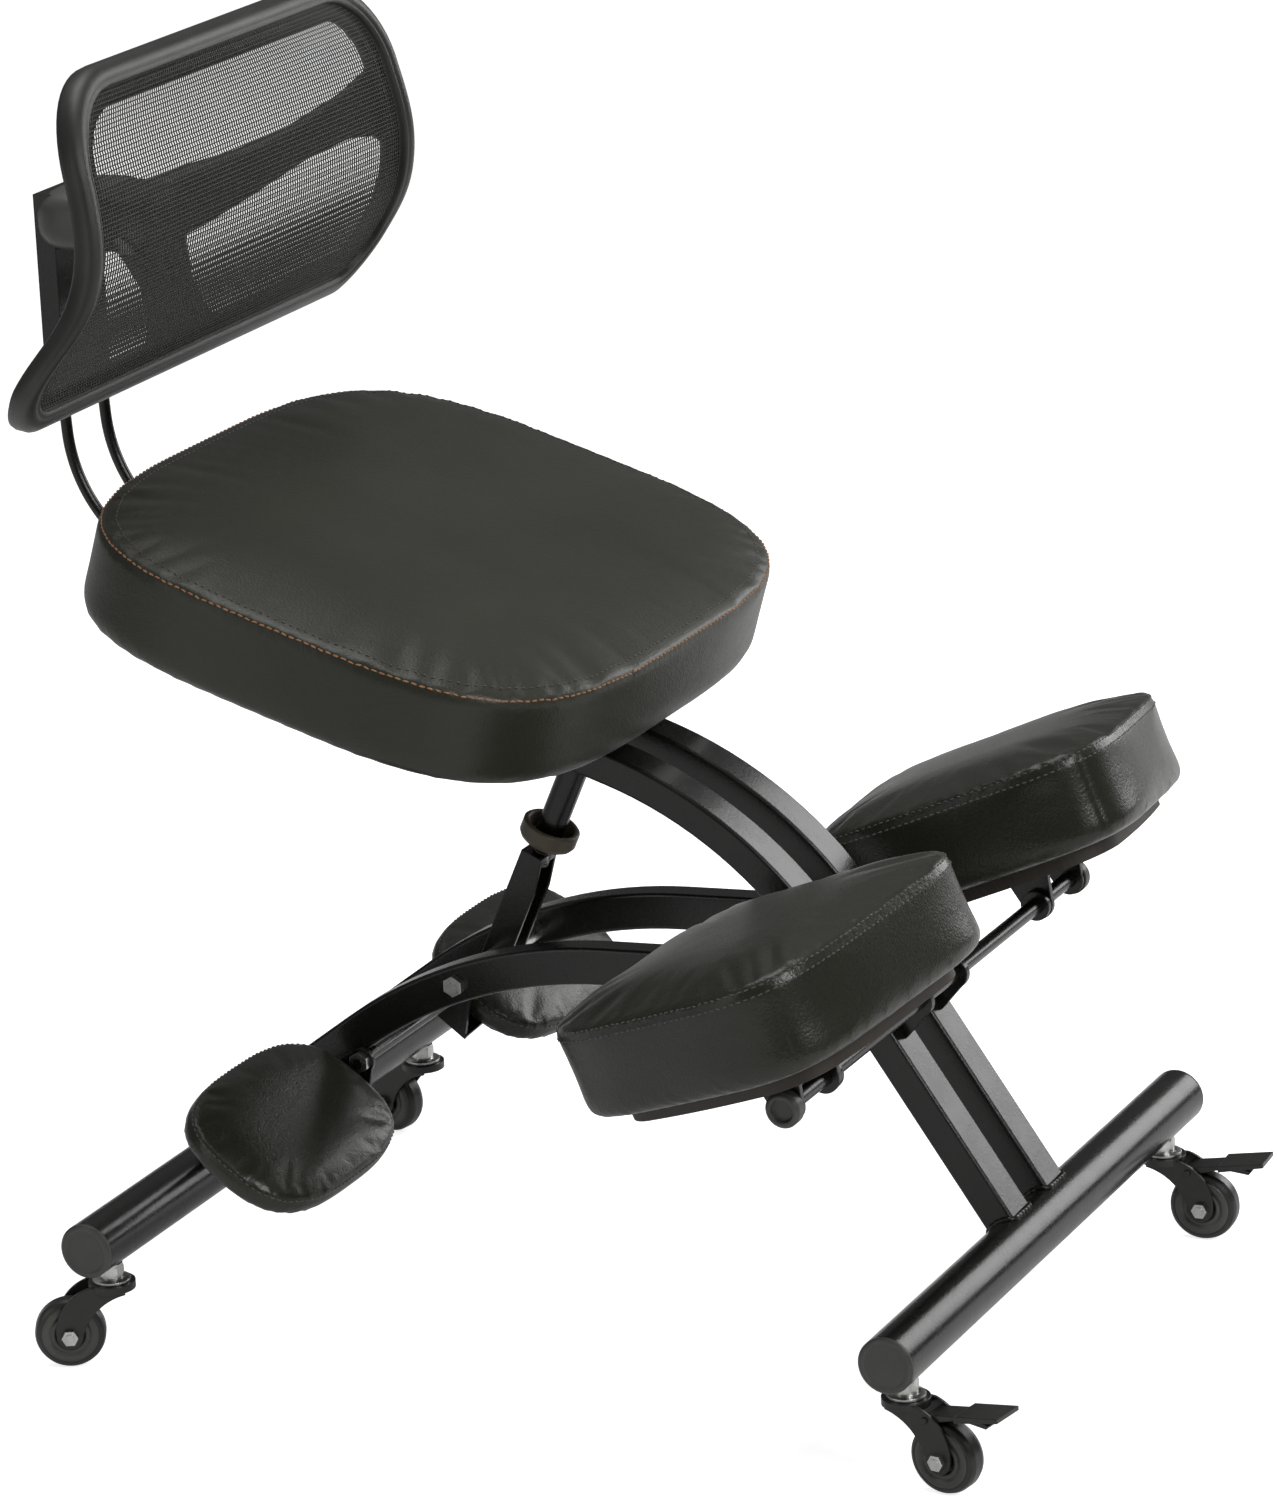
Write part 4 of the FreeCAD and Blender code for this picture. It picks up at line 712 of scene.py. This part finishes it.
def back_outline(inset):
    """The backrest's outline from the front, drawn in by the inset, as (x, z)."""
    low, high = BACK_LOW + inset, BACK_HIGH - inset
    low_half, top_half = LOW_HALF - inset, TOP_HALF - inset
    low_round, top_round = 34 - 0.6 * inset, 68 - 0.846 * inset
    points = []

    def run(first, second, count):
        points.extend((first[0] + (second[0] - first[0]) * k / count,
                       first[1] + (second[1] - first[1]) * k / count) for k in range(count))

    def turn(x, z, radius, start, count=14):
        for k in range(count):
            angle = math.radians(start + 90 * k / count)
            points.append((x + radius * math.cos(angle), z + radius * math.sin(angle)))

    run((-low_half + low_round, low), (low_half - low_round, low), 44)
    turn(low_half - low_round, low + low_round, low_round, -90)
    run((low_half, low + low_round), (top_half, high - top_round), 26)
    turn(top_half - top_round, high - top_round, top_round, 0)
    run((top_half - top_round, high), (-top_half + top_round, high), 44)
    turn(-top_half + top_round, high - top_round, top_round, 90)
    run((-top_half, high - top_round), (-low_half, low + low_round), 26)
    turn(-low_half + low_round, low + low_round, low_round, 180)
    return [(x + bulge(x, z), z) for x, z in points]


def bulge(x, z):
    side = min(abs(x) / TOP_HALF, 1.0) ** 3
    return math.copysign(BULGE, x) * math.exp(-((z - BULGE_HEIGHT) / BULGE_SPREAD) ** 2) * side


# Section of the moulded ring, as (inset from the outline, depth behind the net's front)
SHELL_SECTION = (
    (0.5, 3.4), (0.0, 0.0), (0.5, -2.4), (1.8, -4.4), (4.0, -5.7), (6.6, -6.0), (8.8, -5.7), (9.6, -4.5),
    (10.4, -4.4), (11.1, -5.0), (12.4, -4.6), (13.5, -3.2), (14.0, -1.2), (14.0, 0.9), (15.0, 1.4),
    (20.0, 1.5), (25.2, 1.6), (26.4, 2.6), (26.6, 5.0), (25.4, 9.0), (21.0, 12.8), (14.0, 15.0),
    (7.0, 14.8), (2.6, 12.0), (1.0, 8.0),
)


def back_shell():
    """Moulded ring: a rounded lip in front of the net, with a piping groove, and a flange behind it."""
    build = bmesh.new()
    rows = [[build.verts.new(at(x, back_y(z) + depth, z)) for x, z in back_outline(inset)]
            for inset, depth in SHELL_SECTION]
    skin(build, rows + rows[:1])
    shell = finished("back_shell", build, back_mat)
    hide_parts("back_frame")
    return shell


def along_bar(stops, steps=28):
    """Middles and half sizes of sections along a bar. Each stop is (middle, half across, half deep)."""
    sections = []
    for number in range(steps + 1):
        spot = (len(stops) - 1) * number / steps
        index = min(int(spot), len(stops) - 2)
        share = spot - index
        share = share * share * (3 - 2 * share) * 0.5 + share * 0.5
        (a, wide_a, deep_a), (b, wide_b, deep_b) = stops[index], stops[index + 1]
        middle = Vector(a).lerp(Vector(b), share)
        sections.append((middle, wide_a + (wide_b - wide_a) * share, deep_a + (deep_b - deep_a) * share))
    return sections


# Sections of a side arm and of the stem, as (middle, half across, half deep)
ARM_STOPS = (((18, 636, 739), 22, 15), ((46, 625, 744), 21, 13), ((84, 604, 754), 16, 10),
             ((128, 585, 767), 13, 8), ((172, 572, 777), 16, 7), ((197, 564, 782), 24, 6),
             ((210, 560, 784), 36, 5))
STEM_STOPS = (((0, 636, 732), 38, 14), ((0, 630, 714), 31, 12), ((0, 623, 696), 27, 9),
              ((0, 617, 676), 31, 7), ((0, 614, 664), 44, 5), ((0, 611, 655), 66, 4), ((0, 613, 647), 80, 4))
# The hub block from front to rear, as (depth behind the front cross tube, inset)
HUB_STOPS = ((621, 6), (622, 2.5), (625, 0.6), (630, 0), (660, 0), (666, 0.6), (667, 2))
HUB_HEIGHT = 739


def back_arms():
    """Hub block, two side arms and the stem behind the net, flared where they join the shell."""
    build = bmesh.new()

    def add(rings):
        part = stacked("arm", rings, back_mat, Matrix())
        build.from_mesh(part.data)
        bpy.data.objects.remove(part)

    for side in (-1, 1):
        add([[at(side * m.x, m.y + p.x, m.z + p.y) / MM for p in rounded(deep, wide, 4.0, 28)]
             for m, wide, deep in along_bar(ARM_STOPS)])
    add([[at(m.x + p.x, m.y + p.y, m.z) / MM for p in rounded(wide, deep, 4.0, 28)]
         for m, wide, deep in along_bar(STEM_STOPS)])
    add([[at(p.x, y, HUB_HEIGHT + p.y) / MM for p in rounded(34 - inset, 21 - inset, 5.0, 48)]
         for y, inset in HUB_STOPS])
    arms = finished("back_arms", build, back_mat, outward=False)
    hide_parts("back_frame")
    return arms


NET_INSET = 12.5           # how far inside the shell's outline the net ends, under the lip
NET_PITCH = 3.3            # between upright threads; the level ones lie closer
NET_THREAD = 1.2


def back_net():
    """Knitted net: a grid of threads on the backrest's curve, tucked under the shell's lip."""
    outline = back_outline(NET_INSET)
    low, high = BACK_LOW + NET_INSET, BACK_HIGH - NET_INSET
    inside = [k for k, point in enumerate(back_table) if low < point.y < high]
    span = inside[-1] - inside[0]
    rows = int(span / BACK_STEPS * back_length / (NET_PITCH * 0.86))
    count = int(440 / NET_PITCH)
    build = bmesh.new()
    previous = None
    for row in range(rows + 1):
        point = back_table[inside[0] + round(span * row / rows)]
        half = max(a[0] + (b[0] - a[0]) * (point.y - a[1]) / (b[1] - a[1])
                   for a, b in zip(outline, outline[1:] + outline[:1])
                   if min(a[1], b[1]) <= point.y <= max(a[1], b[1]) and a[1] != b[1])
        shift = 0.25 * (row % 2)
        line = [build.verts.new(at(-half + 2 * half * (k + shift * (0 < k < count)) / count,
                                   point.x + 0.6, point.y)) for k in range(count + 1)]
        if previous:
            for k in range(count):
                build.faces.new((previous[k], previous[k + 1], line[k + 1], line[k]))
        previous = line
    net = finished("back_net", build, net_mat, outward=False)
    wire = net.modifiers.new("threads", "WIREFRAME")
    wire.thickness = NET_THREAD * MM
    wire.use_replace = True
    wire.use_boundary = True
    wire.use_even_offset = False
    take_mesh(net, evaluated_mesh(net))
    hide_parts("back_mesh")
    return net


# Sections of the hub's cover, as (share of its half depth, inset), from the backrest to the rear
CAP_STOPS = ((-1.0, 2.0), (-0.97, 0.6), (-0.9, 0.0), (-0.2, 0.4), (0.1, 1.0), (0.35, 3.0), (0.6, 6.5),
             (0.8, 11.0), (0.93, 16.0), (0.99, 21.5))


def hub_cap():
    """Rounded cover over the height lock, with a soft waist at its edge."""
    low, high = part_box("hub_cover")
    middle, half = (low + high) / 2 / MM, (high - low) / 2 / MM
    rings = [[(middle.x + p.x, middle.y + half.y * share, middle.z + p.y)
              for p in rounded(half.x - inset * 1.2, half.z - inset * 0.8, 3.4, 56)]
             for share, inset in CAP_STOPS]
    cap = stacked("hub_cap", rings, hub_mat, Matrix())
    subdivided(cap)
    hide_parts("hub_cover")
    return cap


for piece in (back_shell(), back_arms(), back_net(), hub_cap()):
    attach(piece, "backrest")


# Weld beads


def bead(name, paths, radius, body):
    """Rippled weld bead round each closed path of points, in metres."""
    build = bmesh.new()
    sides = 8
    for path in paths:
        rows = []
        for k, point in enumerate(path):
            ahead = (path[(k + 1) % len(path)] - path[k - 1]).normalized()
            across = ahead.orthogonal().normalized()
            size = radius * MM * (1 + 0.16 * math.cos(math.tau * k / 4) + 0.08 * math.sin(k * 1.7))
            rows.append(circle(build, point, across, ahead.cross(across), size, sides))
        # Each row starts at the vertex nearest to the start of the row before it
        untwisted = rows[:1]
        for row in rows[1:] + rows[:1]:
            start = untwisted[-1][0].co
            shift = min(range(sides), key=lambda spot: (start - row[spot].co).length)
            untwisted.append(row[shift:] + row[:shift])
        skin(build, untwisted)
    obj = finished(name, build, steel_mat)
    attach(obj, body)


def foot_line(x, bar_y, rise, width, depth):
    """Where a rail of that section and rise meets the cross tube, as a closed path."""
    up = Vector((0, math.cos(math.radians(rise)), math.sin(math.radians(rise))))
    out = Vector((0, -up.z, up.y))
    path = []
    for p in rounded(width / 2 + 0.6, depth / 2 + 0.6, 8.0, 88):
        lift = math.sqrt(max(BAR_RADIUS ** 2 - p.y ** 2, 0.0))
        spot = Vector((x + p.x, 0, 0)) + out * p.y + up * (lift + 0.6)
        path.append(at(spot.x, bar_y + spot.y, BAR_HEIGHT + spot.z))
    return path


main_feet = [foot_line(x, 0.0, rise=55.4, width=30.0, depth=22.0) for x in (-30.0, 30.0)]
rear_feet = [foot_line(x, WHEELBASE, rise=180.0 - 36.92, width=20.0, depth=26.0) for x in (-60.5, 60.5)]
bead("front_welds", main_feet, 1.9, "front_frame")
bead("rear_welds", rear_feet, 1.8, "rear_frame")


# Caster details

STEM_X = 228.0
TRAIL = 30.0
AXLE_HEIGHT = 24.0
# Each caster's place and the way it points
CASTERS = (
    ("front_left", STEM_X, 0.0, (2.0, -31.0)),
    ("front_right", -STEM_X, 0.0, (-6.0, -36.0)),
    ("rear_left", STEM_X, WHEELBASE, (7.0, 38.0)),
    ("rear_right", -STEM_X, WHEELBASE, (-15.0, 28.0)),
)
# Section of the trim, as (distance from the axle, distance from the wheel's middle plane)
WHEEL_FACE = ((9.9, 8.1), (10.2, 8.75), (11.2, 9.0), (12.4, 8.8), (12.8, 8.2), (13.6, 8.2), (14.0, 8.9),
              (16.4, 9.05), (18.6, 8.9), (19.2, 8.4), (19.4, 8.0))


def wheel_trim(name, x, y, lead):
    """Stepped ring on both faces of a wheel, round its hub."""
    ahead = Vector((*lead, 0)).normalized()
    axle = Vector((-ahead.y, ahead.x, 0))
    middle = at(x, y, AXLE_HEIGHT) + ahead * TRAIL * MM
    build = bmesh.new()
    for side in (-1, 1):
        skin(build, [circle(build, middle + axle * side * out * MM, ahead, Vector((0, 0, 1)), radius * MM, 48)
                     for radius, out in WHEEL_FACE])
    trim = finished(f"wheel_trim_{name}", build, trim_mat)
    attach(trim, f"wheel_{name}")


for name, x, y, lead in CASTERS:
    wheel_trim(name, x, y, lead)


# Studio


def floor():
    """White paper that glows for the camera, and faintly in reflections."""
    shader = Shader("studio_paper", roughness=0.85, Base_Color=(0.86, 0.86, 0.86, 1.0),
                    Emission_Color=(1.0, 1.0, 1.0, 1.0))
    path = shader.node("ShaderNodeLightPath")
    seen = shader.math("MAXIMUM", path.outputs["Is Camera Ray"], path.outputs["Is Transmission Ray"])
    reflected = shader.math("MULTIPLY", path.outputs["Is Glossy Ray"], 0.12)
    lift = shader.math("ADD", shader.math("MULTIPLY", seen, 0.80), reflected)
    shader.tree.links.new(lift, shader.surface.inputs["Emission Strength"])
    shader.normal(shader.bump(shader.noise(40.0, 3.0), 0.0002, 0.1))
    build = bmesh.new()
    bmesh.ops.create_grid(build, x_segments=8, y_segments=8, size=30.0)
    ground = finished("studio_floor", build, shader.material, outward=False, smooth=False)
    ground.location.z = -0.0005


def lamp(name, place, aim, width, height, power):
    data = bpy.data.lights.new(name, "AREA")
    data.shape = "RECTANGLE"
    data.size = width
    data.size_y = height
    data.energy = power
    obj = bpy.data.objects.new(name, data)
    scene.collection.objects.link(obj)
    obj.location = place
    obj.rotation_euler = (Vector(aim) - Vector(place)).to_track_quat("-Z", "Y").to_euler()


def sky():
    """White to the camera, and for the light a dome that is dark below and brighter above."""
    world = bpy.data.worlds.new("studio")
    world.use_nodes = True
    scene.world = world
    tree = world.node_tree
    back = tree.nodes["Background"]
    back.inputs["Color"].default_value = (1.0, 1.0, 1.0, 1.0)
    path = tree.nodes.new("ShaderNodeLightPath")
    most = tree.nodes.new("ShaderNodeMath")
    most.operation = "MAXIMUM"
    tree.links.new(path.outputs["Is Camera Ray"], most.inputs[0])
    tree.links.new(path.outputs["Is Transmission Ray"], most.inputs[1])
    place = tree.nodes.new("ShaderNodeTexCoord")
    height = tree.nodes.new("ShaderNodeSeparateXYZ")
    tree.links.new(place.outputs["Generated"], height.inputs[0])
    dome = tree.nodes.new("ShaderNodeMapRange")
    dome.interpolation_type = "SMOOTHSTEP"
    for socket, value in (("From Min", -0.05), ("From Max", 0.9), ("To Min", 0.05), ("To Max", 0.30)):
        dome.inputs[socket].default_value = value
    tree.links.new(height.outputs["Z"], dome.inputs["Value"])
    level = tree.nodes.new("ShaderNodeMapRange")
    level.inputs["To Max"].default_value = 1.0
    tree.links.new(dome.outputs["Result"], level.inputs["To Min"])
    tree.links.new(most.outputs[0], level.inputs["Value"])
    tree.links.new(level.outputs["Result"], back.inputs["Strength"])


def camera():
    """The photo's camera, solved from the cross tubes, the rails and the wheels."""
    data = bpy.data.cameras.new("camera")
    data.lens = 150.43
    data.sensor_width = 36.0
    data.clip_end = 60.0
    obj = bpy.data.objects.new("camera", data)
    scene.collection.objects.link(obj)
    roll = math.radians(-2.505)
    right, up = Vector((0.4416, -0.8972, 0.0)), Vector((0.2635, 0.1297, 0.9559))
    across = (right * math.cos(roll) + up * math.sin(roll)).normalized()
    upward = (up * math.cos(roll) - right * math.sin(roll)).normalized()
    obj.matrix_world = (Matrix.Translation((-3.59895, -1.80655, 1.62652))
                        @ Matrix((across, upward, across.cross(upward))).transposed().to_4x4())
    scene.camera = obj


floor()
sky()
lamp("key", (-1.0, -2.5, 2.2), aim=(0.0, 0.0, 0.35), width=1.0, height=1.4, power=46.0)
lamp("panel", (2.7, -1.2, 1.35), aim=(0.0, 0.0, 0.35), width=1.5, height=1.7, power=34.0)
lamp("fill", (-2.6, 1.5, 1.0), aim=(0.0, 0.1, 0.4), width=0.8, height=1.8, power=7.0)
lamp("top", (0.3, 0.5, 2.8), aim=(0.0, 0.0, 0.4), width=1.4, height=1.8, power=26.0)
camera()
scene.view_settings.view_transform = "Standard"
